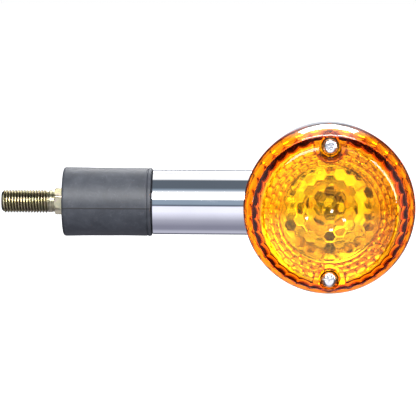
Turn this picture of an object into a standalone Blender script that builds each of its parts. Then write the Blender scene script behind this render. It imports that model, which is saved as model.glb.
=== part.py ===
"""Motorcycle turn signal indicator, built as separate pieces.

Metres, +Z up. The mounting stud lies along X, with its shoulder at the origin. The stem runs towards +X and
the lamp faces -Y. Every round piece is turned about X or about the lamp's own axis, which is parallel to Y.
"""

import math

import bmesh
import bpy
from mathutils import Matrix, Vector

MM = 0.001
GAP = 0.3 * MM

# Stud, damper and stem, from left to right along X
STUD_TIP_X = -22.75 * MM
STUD_THREAD_R = 5.0 * MM
THREAD_PITCH = 1.25 * MM
THREAD_DEPTH = 0.68 * MM
THREAD_END_X = -2.125 * MM
LEAD_BORE_R = 2.5 * MM
COLLAR_ACROSS_FLATS = 10.0 * MM
RUBBER_LEFT_X = 3.9 * MM
RUBBER_RIGHT_X = 41.7 * MM
RUBBER_LEFT_R = 14.75 * MM
RUBBER_RIGHT_R = 14.5 * MM
FORE_AFT_X = RUBBER_LEFT_X + (RUBBER_RIGHT_X - RUBBER_LEFT_X) / 4
UP_DOWN_X = RUBBER_RIGHT_X - (RUBBER_RIGHT_X - RUBBER_LEFT_X) / 4
LEAD_PASSAGE_R = 3.2 * MM
STUD_NECK_R = 4.9 * MM
INSERT_NECK_R = 8.0 * MM
BOND_PLATE_R = 11.0 * MM
BOND_PLATE = 2.5 * MM
STUD_PLATE_X = RUBBER_LEFT_X + 3.1 * MM
INSERT_PLATE_X = RUBBER_RIGHT_X - 6.2 * MM
STEM_R = 13.85 * MM
STEM_WALL = 1.2 * MM
STEM_LEFT_X = RUBBER_RIGHT_X + GAP
STEM_RIGHT_X = 91.7 * MM
CLIP_X = 89.1 * MM
CLIP_THICK = 1.0 * MM

# Lamp head, along its own axis: Y runs from the lens apex (front) to the back of the bowl
LAMP_X = 117.0 * MM
LENS_R = 36.0 * MM
LENS_REAR_Y = -19.2 * MM
LENS_WALL = 2.4 * MM
LENS_EDGE_Y = -37.0 * MM
LENS_EDGE_R = 31.0 * MM
LENS_APEX_Y = -39.5 * MM
BOWL_RIM_Y = -17.4 * MM
BOWL_BACK_Y = 29.3 * MM
BOWL_WALL = 1.4 * MM
BOWL_RIM_R = 35.5 * MM
BOWL_BACK_R = 33.2 * MM
BOWL_CORNER_R = 13.0 * MM
DRAIN_Y = 5.0 * MM
REFLECTOR_Y = -18.4 * MM
REFLECTOR_R = 32.6 * MM
REFLECTOR_SHEET = 0.8 * MM
DISH_R = 23.2 * MM
DISH_BOTTOM_Y = -1.2 * MM
DISH_BOTTOM_R = 13.0 * MM

# Lens screws
SCREW_Z = 27.6 * MM
SCREW_R = 2.0 * MM
SCREW_HEAD_R = 3.2 * MM
SCREW_HEAD_Y = -35.5 * MM
SCREW_SEAT_Y = -33.1 * MM
SCREW_TIP_Y = -8.0 * MM
WELL_R = 4.3 * MM
WELL_FLOOR_Y = -31.7 * MM
BOSS_R = 6.8 * MM
POST_R = 3.6 * MM

# Bulb and socket
SOCKET_R = 8.6 * MM
SOCKET_BORE_R = 7.9 * MM
SOCKET_FRONT_Y = -2.2 * MM
SOCKET_END_Y = 26.6 * MM
BASE_R = 7.5 * MM
BASE_FRONT_Y = -2.0 * MM
BASE_END_Y = 15.4 * MM
PIN_Y = 9.0 * MM
PIN_R = 1.0 * MM
BULB_R = 12.5 * MM
BULB_TIP_Y = -30.3 * MM
NECK_R = 6.6 * MM
NECK_FRONT_Y = -3.0 * MM
NECK_BACK_Y = 3.0 * MM
MOUNT_FRONT_Y = -9.0 * MM
SUPPORT_WIRE_R = 0.4 * MM
FILAMENT_Y = -20.5 * MM
CONTACT_FRONT_Y = 17.0 * MM
SPRING_FRONT_Y = 19.8 * MM
SPRING_BACK_Y = 24.0 * MM
SPRING_COIL_R = 5.4 * MM
SPRING_WIRE_R = 0.4 * MM

ZINC = ((0.62, 0.52, 0.22, 1), 0.35, 1.0)
RUBBER = ((0.045, 0.05, 0.058, 1), 0.6, 0.0)
CHROME = ((0.8, 0.81, 0.83, 1), 0.08, 1.0)
STEEL = ((0.55, 0.55, 0.54, 1), 0.35, 1.0)
BRASS = ((0.72, 0.52, 0.2, 1), 0.3, 1.0)
AMBER = ((0.95, 0.42, 0.02, 1), 0.1, 0.0)
PHENOLIC = ((0.22, 0.1, 0.05, 1), 0.5, 0.0)
VITRITE = ((0.02, 0.02, 0.03, 1), 0.2, 0.0)
GLASS = ((0.9, 0.95, 0.95, 1), 0.05, 0.0)
TUNGSTEN = ((0.3, 0.3, 0.32, 1), 0.4, 1.0)


def make_material(name, finish):
    colour, roughness, metallic = finish
    material = bpy.data.materials.new(name)
    material.use_nodes = True
    shader = material.node_tree.nodes["Principled BSDF"]
    shader.inputs["Base Color"].default_value = colour
    shader.inputs["Roughness"].default_value = roughness
    shader.inputs["Metallic"].default_value = metallic
    return material


def add_object(name, mesh, finish, origin=(0, 0, 0)):
    """Puts a mesh given in world coordinates into the scene, with the object's origin at the given point."""
    mesh.transform(Matrix.Translation(-Vector(origin)))
    mesh.shade_smooth()
    mesh.set_sharp_from_angle(angle=math.radians(35))
    piece = bpy.data.objects.new(name, mesh)
    piece.location = origin
    bpy.context.collection.objects.link(piece)
    if finish:
        mesh.materials.append(make_material(name, finish))
    else:
        piece.hide_render = True
        piece.display_type = "WIRE"
    return piece


def along_x(position, radius, angle):
    return Vector((position, radius * math.cos(angle), radius * math.sin(angle)))


def along_lamp(position, radius, angle):
    return Vector((LAMP_X + radius * math.cos(angle), position, radius * math.sin(angle)))


def turned_mesh(name, rings, place, steps=32, hollow=False):
    """Skins a stack of rings. Each ring is (position, radius); a radius may be a function of the angle.

    A hollow piece's last ring joins its first one. A solid piece ends in a flat cap at each end.
    """
    work = bmesh.new()
    loops = []
    for position, radius in rings:
        loop = []
        for step in range(steps):
            angle = 2 * math.pi * step / steps
            size = radius(angle) if callable(radius) else radius
            loop.append(work.verts.new(place(position, size, angle)))
        loops.append(loop)
    pairs = list(zip(loops, loops[1:]))
    if hollow:
        pairs.append((loops[-1], loops[0]))
    else:
        work.faces.new(loops[0])
        work.faces.new(loops[-1])
    for first, second in pairs:
        for step in range(steps):
            after = (step + 1) % steps
            work.faces.new((first[step], first[after], second[after], second[step]))
    bmesh.ops.recalc_face_normals(work, faces=work.faces)
    mesh = bpy.data.meshes.new(name)
    work.to_mesh(mesh)
    work.free()
    return mesh


def tube_rings(front, back, outer_r, inner_r):
    """Four rings of a plain tube or washer."""
    return [(front, outer_r), (back, outer_r), (back, inner_r), (front, inner_r)]


def shifted(place, dx=0.0, dz=0.0):
    """The same placing function, moved sideways."""

    def moved(position, radius, angle):
        return place(position, radius, angle) + Vector((dx, 0, dz))

    return moved


def arc(centre, radius, first_deg, last_deg, count):
    """Points (position, radius) on a quarter or part circle, angle 0 pointing along the axis."""
    points = []
    for index in range(count):
        angle = math.radians(first_deg + (last_deg - first_deg) * index / (count - 1))
        points.append((centre[0] + radius * math.cos(angle), centre[1] + radius * math.sin(angle)))
    return points


def box_mesh(name, centre, size, turn=0.0):
    """A box, turned about the Y axis through its own centre."""
    work = bmesh.new()
    bmesh.ops.create_cube(work, size=1.0)
    bmesh.ops.scale(work, vec=size, verts=work.verts)
    bmesh.ops.rotate(work, matrix=Matrix.Rotation(turn, 3, "Y"), verts=work.verts)
    bmesh.ops.translate(work, vec=centre, verts=work.verts)
    mesh = bpy.data.meshes.new(name)
    work.to_mesh(mesh)
    work.free()
    return mesh


def combine(piece, tool, operation="DIFFERENCE"):
    modifier = piece.modifiers.new(tool.name, "BOOLEAN")
    modifier.operation = operation
    modifier.solver = "EXACT"
    modifier.object = tool


def cutter(name, mesh):
    return add_object(name, mesh, None)


def hexagon(across_flats):
    """Radius of a hexagon with a corner at the top, as a function of the angle."""

    def radius(angle):
        from_flat = (angle + math.pi / 2) % (math.pi / 3) - math.pi / 6
        return across_flats / 2 / math.cos(from_flat)

    return radius


def thread_radius(position, fade):
    """Radius round a screw thread at one place along it."""

    def radius(angle):
        phase = ((position - STUD_TIP_X) / THREAD_PITCH - angle / (2 * math.pi)) % 1.0
        height = min(1.0, max(0.0, 1.3 - 3.0 * abs(phase - 0.5)))
        return STUD_THREAD_R - THREAD_DEPTH * (1 - height * fade)

    return radius


def build_mounting_stud():
    samples = 4
    count = round((THREAD_END_X - STUD_TIP_X) / THREAD_PITCH * samples)
    rings = [(STUD_TIP_X, STUD_THREAD_R - 0.8 * MM)]
    for index in range(1, count + 1):
        position = STUD_TIP_X + index * THREAD_PITCH / samples
        fade = min(1.0, index / samples, (count - index) / samples)
        rings.append((position, thread_radius(position, fade)))
    collar = hexagon(COLLAR_ACROSS_FLATS)
    rings += [(0.0, STUD_THREAD_R - THREAD_DEPTH), (0.0, collar), (RUBBER_LEFT_X - GAP, collar)]
    rings += [(RUBBER_LEFT_X - GAP, STUD_NECK_R), (STUD_PLATE_X, STUD_NECK_R), (STUD_PLATE_X, BOND_PLATE_R)]
    rings += [(STUD_PLATE_X + BOND_PLATE, BOND_PLATE_R), (STUD_PLATE_X + BOND_PLATE, LEAD_BORE_R)]
    rings.append((STUD_TIP_X, LEAD_BORE_R))
    mesh = turned_mesh("mounting_stud", rings, along_x, steps=24, hollow=True)
    return add_object("mounting_stud", mesh, ZINC)


def build_damper_rubber():
    corner = 1.2 * MM
    rings = arc((RUBBER_LEFT_X + corner, RUBBER_LEFT_R - corner), corner, 180, 90, 4)
    middle_x = (RUBBER_LEFT_X + RUBBER_RIGHT_X) / 2
    rings.append((middle_x, (RUBBER_LEFT_R + RUBBER_RIGHT_R) / 2))
    rings += arc((RUBBER_RIGHT_X - corner / 2, RUBBER_RIGHT_R - corner / 2), corner / 2, 90, 0, 3)
    pocket_r = BOND_PLATE_R + GAP
    stud_pocket = (STUD_PLATE_X - GAP, STUD_PLATE_X + BOND_PLATE + GAP)
    insert_pocket = (INSERT_PLATE_X - GAP, INSERT_PLATE_X + BOND_PLATE + GAP)
    rings += [(RUBBER_RIGHT_X, INSERT_NECK_R + GAP), (insert_pocket[1], INSERT_NECK_R + GAP)]
    rings += [(insert_pocket[1], pocket_r), (insert_pocket[0], pocket_r)]
    rings += [(insert_pocket[0], LEAD_PASSAGE_R), (stud_pocket[1], LEAD_PASSAGE_R)]
    rings += [(stud_pocket[1], pocket_r), (stud_pocket[0], pocket_r)]
    rings += [(stud_pocket[0], STUD_NECK_R + GAP), (RUBBER_LEFT_X, STUD_NECK_R + GAP)]
    mesh = turned_mesh("damper_rubber", rings, along_x, hollow=True)
    return add_object("damper_rubber", mesh, RUBBER, (FORE_AFT_X, 0, 0))


def build_damper_insert():
    plug_r = STEM_R - STEM_WALL - GAP
    plug_end_x = STEM_LEFT_X + 13 * MM
    plate_end_x = INSERT_PLATE_X + BOND_PLATE
    rings = [(INSERT_PLATE_X, BOND_PLATE_R), (plate_end_x, BOND_PLATE_R), (plate_end_x, INSERT_NECK_R)]
    rings += [(STEM_LEFT_X, INSERT_NECK_R), (STEM_LEFT_X, plug_r)]
    rings += [(plug_end_x - 1 * MM, plug_r), (plug_end_x, plug_r - 1 * MM), (plug_end_x, LEAD_PASSAGE_R)]
    rings.append((INSERT_PLATE_X, LEAD_PASSAGE_R))
    mesh = turned_mesh("damper_insert", rings, along_x, steps=24, hollow=True)
    return add_object("damper_insert", mesh, STEEL, (UP_DOWN_X, 0, 0))


def build_stem():
    bore_r = STEM_R - STEM_WALL
    groove_r = STEM_R - 0.5 * MM
    rings = [(STEM_LEFT_X, STEM_R - 0.4 * MM), (STEM_LEFT_X + 0.4 * MM, STEM_R), (CLIP_X - GAP, STEM_R)]
    groove_end_x = CLIP_X + CLIP_THICK + GAP
    rings += [(CLIP_X - GAP, groove_r), (groove_end_x, groove_r), (groove_end_x, STEM_R)]
    rings += [(STEM_RIGHT_X, STEM_R), (STEM_RIGHT_X, bore_r), (STEM_LEFT_X, bore_r)]
    tube = turned_mesh("stem_tube", rings, along_x, hollow=True)
    add_object("stem_tube", tube, CHROME, (UP_DOWN_X, 0, 0))
    clip_rings = tube_rings(CLIP_X, CLIP_X + CLIP_THICK, STEM_R + 2.1 * MM, groove_r + GAP)
    clip = add_object("stem_clip", turned_mesh("stem_clip", clip_rings, along_x, hollow=True), STEEL)
    slot = box_mesh("clip_gap", (CLIP_X, 0, -STEM_R - 1 * MM), (5 * MM, 6 * MM, 6 * MM))
    combine(clip, cutter("clip_gap", slot))


def bowl_outline(wall):
    """The bowl's turned outline from its rim to its back, set inwards by the wall."""
    points = [(BOWL_RIM_Y, BOWL_RIM_R - wall)]
    points += [(-14.0 * MM, BOWL_RIM_R - 0.5 * MM - wall), (2.0 * MM, BOWL_RIM_R - 1.2 * MM - wall)]
    centre = (BOWL_BACK_Y - BOWL_CORNER_R, BOWL_BACK_R - BOWL_CORNER_R)
    return points + arc(centre, BOWL_CORNER_R - wall, 90, 10, 6)


def build_housing_bowl():
    outer = bowl_outline(0.0) + [(BOWL_BACK_Y, 8 * MM)]
    inner = bowl_outline(BOWL_WALL) + [(BOWL_BACK_Y - BOWL_WALL, 8 * MM)]
    mesh = turned_mesh("housing_bowl", outer[::-1] + inner, along_lamp, steps=40)
    bowl = add_object("housing_bowl", mesh, CHROME, (UP_DOWN_X, 0, 0))
    hole = [(75 * MM, STEM_R + GAP), (100 * MM, STEM_R + GAP)]
    combine(bowl, cutter("stem_hole", turned_mesh("stem_hole", hole, along_x)))

    def downwards(position, radius, angle):
        return Vector((LAMP_X + radius * math.cos(angle), DRAIN_Y + radius * math.sin(angle), position))

    drain = [(-40 * MM, 1.5 * MM), (-28 * MM, 1.5 * MM)]
    combine(bowl, cutter("drain_hole", turned_mesh("drain_hole", drain, downwards, steps=12)))


def post_foot_y(radius):
    """Where the bowl's inner wall is at a given radius from the lamp axis, near its back corner."""
    across = radius - (BOWL_BACK_R - BOWL_CORNER_R)
    return BOWL_BACK_Y - BOWL_CORNER_R + math.sqrt((BOWL_CORNER_R - BOWL_WALL) ** 2 - across**2)


def build_lens_posts():
    front = REFLECTOR_Y + GAP
    back = post_foot_y(SCREW_Z + POST_R) - GAP
    for name, z in (("upper", SCREW_Z), ("lower", -SCREW_Z)):
        rings = tube_rings(front, back, POST_R, SCREW_R + GAP)
        mesh = turned_mesh("lens_post_" + name, rings, shifted(along_lamp, dz=z), steps=16, hollow=True)
        add_object("lens_post_" + name, mesh, STEEL)


def build_gasket():
    outer_r = BOWL_RIM_R - 0.1 * MM
    rings = tube_rings(LENS_REAR_Y + GAP, BOWL_RIM_Y - GAP, outer_r, outer_r - 2.1 * MM)
    add_object("lens_gasket", turned_mesh("lens_gasket", rings, along_lamp, steps=40, hollow=True), RUBBER)


def dish_outline(offset):
    """The reflector from its outer edge to the socket hole; the offset is the sheet's thickness."""
    flange_y = REFLECTOR_Y - REFLECTOR_SHEET + offset
    points = [(flange_y, REFLECTOR_R), (flange_y, DISH_R + 1.0 * MM - offset)]
    depth = DISH_BOTTOM_Y - REFLECTOR_Y
    for index in range(1, 5):
        share = index / 4
        radius = DISH_R - (DISH_R - DISH_BOTTOM_R) * share - offset * (1 - share)
        points.append((flange_y + depth * math.sin(share * math.pi / 2) ** 0.9, radius))
    points.append((flange_y + depth, SOCKET_R + 0.4 * MM))
    return points


def build_reflector():
    rings = dish_outline(0.0) + dish_outline(REFLECTOR_SHEET)[::-1]
    mesh = turned_mesh("reflector", rings, along_lamp, hollow=True)
    reflector = add_object("reflector", mesh, CHROME)
    for name, z in (("upper", SCREW_Z), ("lower", -SCREW_Z)):
        hole = [(REFLECTOR_Y - 3 * MM, SCREW_R + GAP), (REFLECTOR_Y + 3 * MM, SCREW_R + GAP)]
        mesh = turned_mesh("reflector_hole_" + name, hole, shifted(along_lamp, dz=z), steps=14)
        combine(reflector, cutter("reflector_hole_" + name, mesh))


def sector_mesh(name, angles, positions, radii, filled):
    """Builds a turned body from sector blocks, of which filled(angle, position, radius) says which exist.

    The three lists hold the blocks' edges; the function is asked about the middle of each block.
    """
    work = bmesh.new()
    corners = {}
    counts = (len(angles), len(positions) - 1, len(radii) - 1)

    def corner(i, j, k):
        key = (i % counts[0], j, k)
        if key not in corners:
            corners[key] = work.verts.new(along_lamp(positions[j], radii[k], math.radians(angles[key[0]])))
        return corners[key]

    def exists(i, j, k):
        if not (0 <= j < counts[1] and 0 <= k < counts[2]):
            return False
        i = i % counts[0]
        middle = angles[i] + (angles[1] - angles[0]) / 2
        return filled(middle, (positions[j] + positions[j + 1]) / 2, (radii[k] + radii[k + 1]) / 2)

    for i in range(counts[0]):
        for j in range(counts[1]):
            for k in range(counts[2]):
                if not exists(i, j, k):
                    continue
                for axis in range(3):
                    for side in (0, 1):
                        step = [0, 0, 0]
                        step[axis] = 1 if side else -1
                        if exists(i + step[0], j + step[1], k + step[2]):
                            continue
                        base = [i, j, k]
                        base[axis] += side
                        u, v = [other for other in range(3) if other != axis]
                        face = []
                        for du, dv in ((0, 0), (1, 0), (1, 1), (0, 1)):
                            place = list(base)
                            place[u] += du
                            place[v] += dv
                            face.append(corner(*place))
                        work.faces.new(face)
    bmesh.ops.recalc_face_normals(work, faces=work.faces)
    mesh = bpy.data.meshes.new(name)
    work.to_mesh(mesh)
    work.free()
    return mesh


def socket_filled(angle, position, radius):
    """The socket's wall and flange, less a J-slot on each side: a leg from the front, a turn and a hook."""
    across = (angle + 90) % 180 - 90
    in_leg = 32 < across < 56 and position < PIN_Y + 4 * MM
    in_turn = -12 < across < 56 and PIN_Y + 1.3 * MM < position < PIN_Y + 4 * MM
    in_hook = -12 < across < 12 and PIN_Y - 1.4 * MM < position < PIN_Y + 4 * MM
    if radius < 10 * MM and (in_leg or in_turn or in_hook):
        return False
    in_flange = DISH_BOTTOM_Y + GAP < position < DISH_BOTTOM_Y + GAP + 0.8 * MM
    return radius < SOCKET_R or in_flange


def build_socket():
    flange_y = DISH_BOTTOM_Y + GAP
    angles = [8 * index - 60 for index in range(45)]
    positions = [SOCKET_FRONT_Y - 0.6 * MM, flange_y, flange_y + 0.8 * MM, PIN_Y - 1.4 * MM]
    positions += [PIN_Y + 1.3 * MM, PIN_Y + 4 * MM, SOCKET_END_Y]
    radii = [SOCKET_BORE_R, SOCKET_R, 10.0 * MM, 12.2 * MM]
    mesh = sector_mesh("socket_shell", angles, positions, radii, socket_filled)
    add_object("socket_shell", mesh, BRASS)
    back = tube_rings(SPRING_BACK_Y + GAP, SOCKET_END_Y - 0.3 * MM, SOCKET_BORE_R - GAP, 2.6 * MM)
    add_object("socket_back", turned_mesh("socket_back", back, along_lamp, hollow=True), PHENOLIC)


def build_ground_tab():
    centre = (LAMP_X - SOCKET_R - GAP - 5.5 * MM, 20.5 * MM, 0)
    tab = add_object("ground_tab", box_mesh("ground_tab", centre, (11 * MM, 0.8 * MM, 5 * MM)), BRASS)
    hole = [(15 * MM, 1.3 * MM), (26 * MM, 1.3 * MM)]
    place = shifted(along_lamp, dx=-SOCKET_R - GAP - 8.5 * MM)
    combine(tab, cutter("tab_hole", turned_mesh("tab_hole", hole, place, steps=16)))


def build_contacts():
    disc_rings = tube_rings(CONTACT_FRONT_Y + 0.8 * MM, SPRING_FRONT_Y - GAP, SOCKET_BORE_R - GAP, 1.9 * MM)
    disc = turned_mesh("contact_disc", disc_rings, along_lamp, steps=32, hollow=True)
    add_object("contact_disc", disc, PHENOLIC, (LAMP_X, CONTACT_FRONT_Y, 0))
    pin_rings = [(CONTACT_FRONT_Y, 1.6 * MM), (CONTACT_FRONT_Y + 0.5 * MM, 2.4 * MM)]
    pin_rings += [(CONTACT_FRONT_Y + 0.5 * MM, 1.6 * MM), (SPRING_FRONT_Y + 1.4 * MM, 1.6 * MM)]
    pin = turned_mesh("contact_pin", pin_rings, along_lamp, steps=20)
    add_object("contact_pin", pin, BRASS, (LAMP_X, CONTACT_FRONT_Y, 0))


def build_contact_spring():
    turns = 3
    steps_per_turn = 12
    curve = bpy.data.curves.new("contact_spring", "CURVE")
    curve.dimensions = "3D"
    curve.bevel_depth = SPRING_WIRE_R
    curve.bevel_resolution = 1
    curve.use_fill_caps = True
    count = turns * steps_per_turn
    spline = curve.splines.new("POLY")
    spline.points.add(count)
    front = SPRING_FRONT_Y + SPRING_WIRE_R
    length = SPRING_BACK_Y - SPRING_FRONT_Y - 2 * SPRING_WIRE_R
    for index in range(count + 1):
        angle = 2 * math.pi * index / steps_per_turn
        point = along_lamp(front + length * index / count, SPRING_COIL_R, angle)
        spline.points[index].co = (*point, 1)
    curve.materials.append(make_material("contact_spring", STEEL))
    spring = bpy.data.objects.new("contact_spring", curve)
    bpy.context.collection.objects.link(spring)


def build_bulb_base():
    wall = 0.5 * MM
    end = BASE_END_Y
    rings = [(BASE_FRONT_Y, BASE_R), (end - 1.6 * MM, BASE_R), (end, 5.2 * MM), (end, 4.6 * MM)]
    rings += [(end - 1.9 * MM, BASE_R - wall), (BASE_FRONT_Y, BASE_R - wall)]
    mesh = turned_mesh("bulb_base", rings, along_lamp, steps=24, hollow=True)
    base = add_object("bulb_base", mesh, BRASS, (LAMP_X, PIN_Y, 0))
    for side in (-1, 1):
        pin = bmesh.new()
        turn = Matrix.Rotation(math.pi / 2, 4, "Y")
        middle = Matrix.Translation((LAMP_X + side * 8.2 * MM, PIN_Y, 0)) @ turn
        bmesh.ops.create_cone(
            pin, cap_ends=True, segments=14, radius1=PIN_R, radius2=PIN_R, depth=2.2 * MM, matrix=middle
        )
        pin_mesh = bpy.data.meshes.new("bayonet_pin")
        pin.to_mesh(pin_mesh)
        pin.free()
        combine(base, cutter("bayonet_pin_left" if side < 0 else "bayonet_pin_right", pin_mesh), "UNION")


def build_bulb_contact():
    ring = tube_rings(BASE_END_Y - 1.2 * MM, BASE_END_Y + 0.5 * MM, 4.3 * MM, 2.0 * MM)
    insulator = turned_mesh("bulb_insulator", ring, along_lamp, steps=24, hollow=True)
    add_object("bulb_insulator", insulator, VITRITE, (LAMP_X, PIN_Y, 0))
    dome = [(BASE_END_Y - 0.8 * MM, 1.7 * MM), (BASE_END_Y + 0.8 * MM, 1.7 * MM)]
    dome.append((BASE_END_Y + 1.3 * MM, 0.9 * MM))
    contact = turned_mesh("bulb_contact", dome, along_lamp, steps=20)
    add_object("bulb_contact", contact, STEEL, (LAMP_X, PIN_Y, 0))


def glass_outline(wall):
    """The envelope from its open neck to its tip: a straight neck, a flare and a round end."""
    belly_y = BULB_TIP_Y + BULB_R
    points = [(NECK_BACK_Y, NECK_R - wall), (NECK_FRONT_Y, NECK_R - wall)]
    for index in range(1, 5):
        share = index / 5
        rise = (1 - math.cos(share * math.pi)) / 2
        position = NECK_FRONT_Y + (belly_y - NECK_FRONT_Y) * share
        points.append((position, NECK_R + (BULB_R - NECK_R) * rise - wall))
    return points + arc((belly_y, 0), BULB_R - wall, 90, 170, 6)


def build_bulb_glass():
    rings = glass_outline(0.0)[::-1] + glass_outline(0.7 * MM)
    mesh = turned_mesh("bulb_glass", rings, along_lamp, steps=24)
    add_object("bulb_glass", mesh, GLASS, (LAMP_X, PIN_Y, 0))
    mount = [(2.5 * MM, 5.2 * MM), (0.5 * MM, 4.4 * MM), (-4.0 * MM, 2.6 * MM), (MOUNT_FRONT_Y, 2.2 * MM)]
    mesh = turned_mesh("bulb_mount", mount, along_lamp, steps=20)
    add_object("bulb_mount", mesh, GLASS, (LAMP_X, PIN_Y, 0))


def leaning(foot, foot_dx, tip, tip_dx):
    """Points round a wire that leans sideways on its way from the foot to the tip."""

    def placed(position, radius, angle):
        lean = foot_dx + (tip_dx - foot_dx) * (position - foot) / (tip - foot)
        return along_lamp(position, radius, angle) + Vector((lean, 0, 0))

    return placed


def build_filament():
    foot_y = MOUNT_FRONT_Y - GAP
    spread = 3.4 * MM
    for name, side in (("left", -1), ("right", 1)):
        rings = [(foot_y, SUPPORT_WIRE_R), (FILAMENT_Y, SUPPORT_WIRE_R)]
        place = leaning(foot_y, side * 1.4 * MM, FILAMENT_Y, side * spread)
        post = turned_mesh("filament_post_" + name, rings, place, steps=10)
        add_object("filament_post_" + name, post, TUNGSTEN, (LAMP_X, PIN_Y, 0))
    reach = spread - SUPPORT_WIRE_R - GAP
    coil = [(LAMP_X - reach, 0.45 * MM), (LAMP_X + reach, 0.45 * MM)]

    def across(position, radius, angle):
        return along_x(position, radius, angle) + Vector((0, FILAMENT_Y + 0.5 * MM, 0))

    mesh = turned_mesh("filament", coil, across, steps=12)
    add_object("filament", mesh, TUNGSTEN, (LAMP_X, PIN_Y, 0))


def lens_outline(inset):
    """The lens from its rear rim to near its apex; the inset moves it inwards for the inner face."""
    shoulder = 3.6 * MM
    bow = LENS_EDGE_Y - LENS_APEX_Y
    dome_r = (LENS_EDGE_R**2 + bow**2) / (2 * bow)
    points = [(LENS_REAR_Y, LENS_R - 0.3 * MM - inset)]
    if not inset:
        points += [(LENS_REAR_Y - 0.6 * MM, LENS_R), (LENS_REAR_Y - 2.0 * MM, LENS_R - 0.2 * MM)]
    centre = (LENS_EDGE_Y + shoulder, LENS_EDGE_R - shoulder + 1.8 * MM)
    points += arc(centre, shoulder - inset, 102, 168, 4)
    for share in (0.88, 0.6, 0.3, 0.03):
        radius = LENS_EDGE_R * share
        sag = dome_r - math.sqrt(dome_r**2 - radius**2)
        points.append((LENS_APEX_Y + sag + inset, radius))
    return points


def build_lens():
    mesh = turned_mesh("lens", lens_outline(0.0), along_lamp, steps=40)
    lens = add_object("lens", mesh, AMBER, (LAMP_X, LENS_REAR_Y, 0))
    hollow_rings = [(LENS_REAR_Y + 5 * MM, LENS_R - 0.3 * MM - LENS_WALL)] + lens_outline(LENS_WALL)
    hollow = cutter("lens_hollow", turned_mesh("lens_hollow", hollow_rings, along_lamp, steps=40))
    for name, z in (("upper", SCREW_Z), ("lower", -SCREW_Z)):
        place = shifted(along_lamp, dz=z)
        boss = [(LENS_REAR_Y - 0.3 * MM, BOSS_R), (LENS_APEX_Y - 5 * MM, BOSS_R)]
        combine(hollow, cutter("boss_" + name, turned_mesh("boss_" + name, boss, place, steps=32)))
    combine(lens, hollow)
    for name, z in (("upper", SCREW_Z), ("lower", -SCREW_Z)):
        place = shifted(along_lamp, dz=z)
        well = [(LENS_APEX_Y - 6 * MM, WELL_R), (WELL_FLOOR_Y, WELL_R), (WELL_FLOOR_Y, SCREW_R + GAP)]
        well.append((LENS_REAR_Y + 3 * MM, SCREW_R + GAP))
        combine(lens, cutter("well_" + name, turned_mesh("well_" + name, well, place, steps=20)))


def build_lens_screws():
    for name, z in (("upper", SCREW_Z), ("lower", -SCREW_Z)):
        place = shifted(along_lamp, dz=z)
        rings = [(SCREW_HEAD_Y, SCREW_HEAD_R - 1.2 * MM), (SCREW_HEAD_Y + 0.5 * MM, SCREW_HEAD_R - 0.3 * MM)]
        rings += [(SCREW_HEAD_Y + 1.2 * MM, SCREW_HEAD_R), (SCREW_SEAT_Y, SCREW_HEAD_R)]
        rings += [(SCREW_SEAT_Y, SCREW_R), (SCREW_TIP_Y - 0.8 * MM, SCREW_R), (SCREW_TIP_Y, SCREW_R - 0.7 * MM)]
        mesh = turned_mesh("lens_screw_" + name, rings, place, steps=18)
        screw = add_object("lens_screw_" + name, mesh, STEEL, (LAMP_X, SCREW_SEAT_Y, z))
        for part, turn in (("a", math.radians(45)), ("b", math.radians(135))):
            centre = (LAMP_X, SCREW_HEAD_Y, z)
            wing = box_mesh("recess", centre, (3.4 * MM, 2.6 * MM, 0.8 * MM), turn)
            combine(screw, cutter("recess_" + name + "_" + part, wing))
        seal = tube_rings(SCREW_SEAT_Y + GAP, WELL_FLOOR_Y - GAP, 3.7 * MM, SCREW_R + GAP)
        mesh = turned_mesh("screw_seal_" + name, seal, place, steps=18, hollow=True)
        add_object("screw_seal_" + name, mesh, RUBBER)


def group_head():
    """Hangs the head's pieces on an empty where the damper bends up and down, and the lens's on the lens."""
    bend = bpy.data.objects.new("up_down_bend", None)
    bend.location = (UP_DOWN_X, 0, 0)
    bpy.context.collection.objects.link(bend)
    lens = bpy.data.objects["lens"]
    on_lens = ("lens_screw_upper", "lens_screw_lower", "screw_seal_upper", "screw_seal_lower")
    fixed = ("mounting_stud", "damper_rubber", "up_down_bend")
    bpy.context.view_layer.update()
    for piece in list(bpy.context.collection.objects):
        if piece.name in fixed:
            continue
        keeper = lens if piece.name in on_lens else bend
        piece.parent = keeper
        piece.matrix_parent_inverse = keeper.matrix_world.inverted()
        if piece == lens:
            bpy.context.view_layer.update()


for old in list(bpy.data.objects):
    bpy.data.objects.remove(old, do_unlink=True)
build_mounting_stud()
build_damper_rubber()
build_damper_insert()
build_stem()
build_housing_bowl()
build_lens_posts()
build_gasket()
build_reflector()
build_socket()
build_ground_tab()
build_contacts()
build_contact_spring()
build_bulb_base()
build_bulb_contact()
build_bulb_glass()
build_filament()
build_lens()
build_lens_screws()
group_head()
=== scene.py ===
"""Motorcycle turn signal: the finished look of every piece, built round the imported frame, in metres."""
import math

import bmesh
import bpy
import numpy as np
from mathutils import Matrix, Vector


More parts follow.
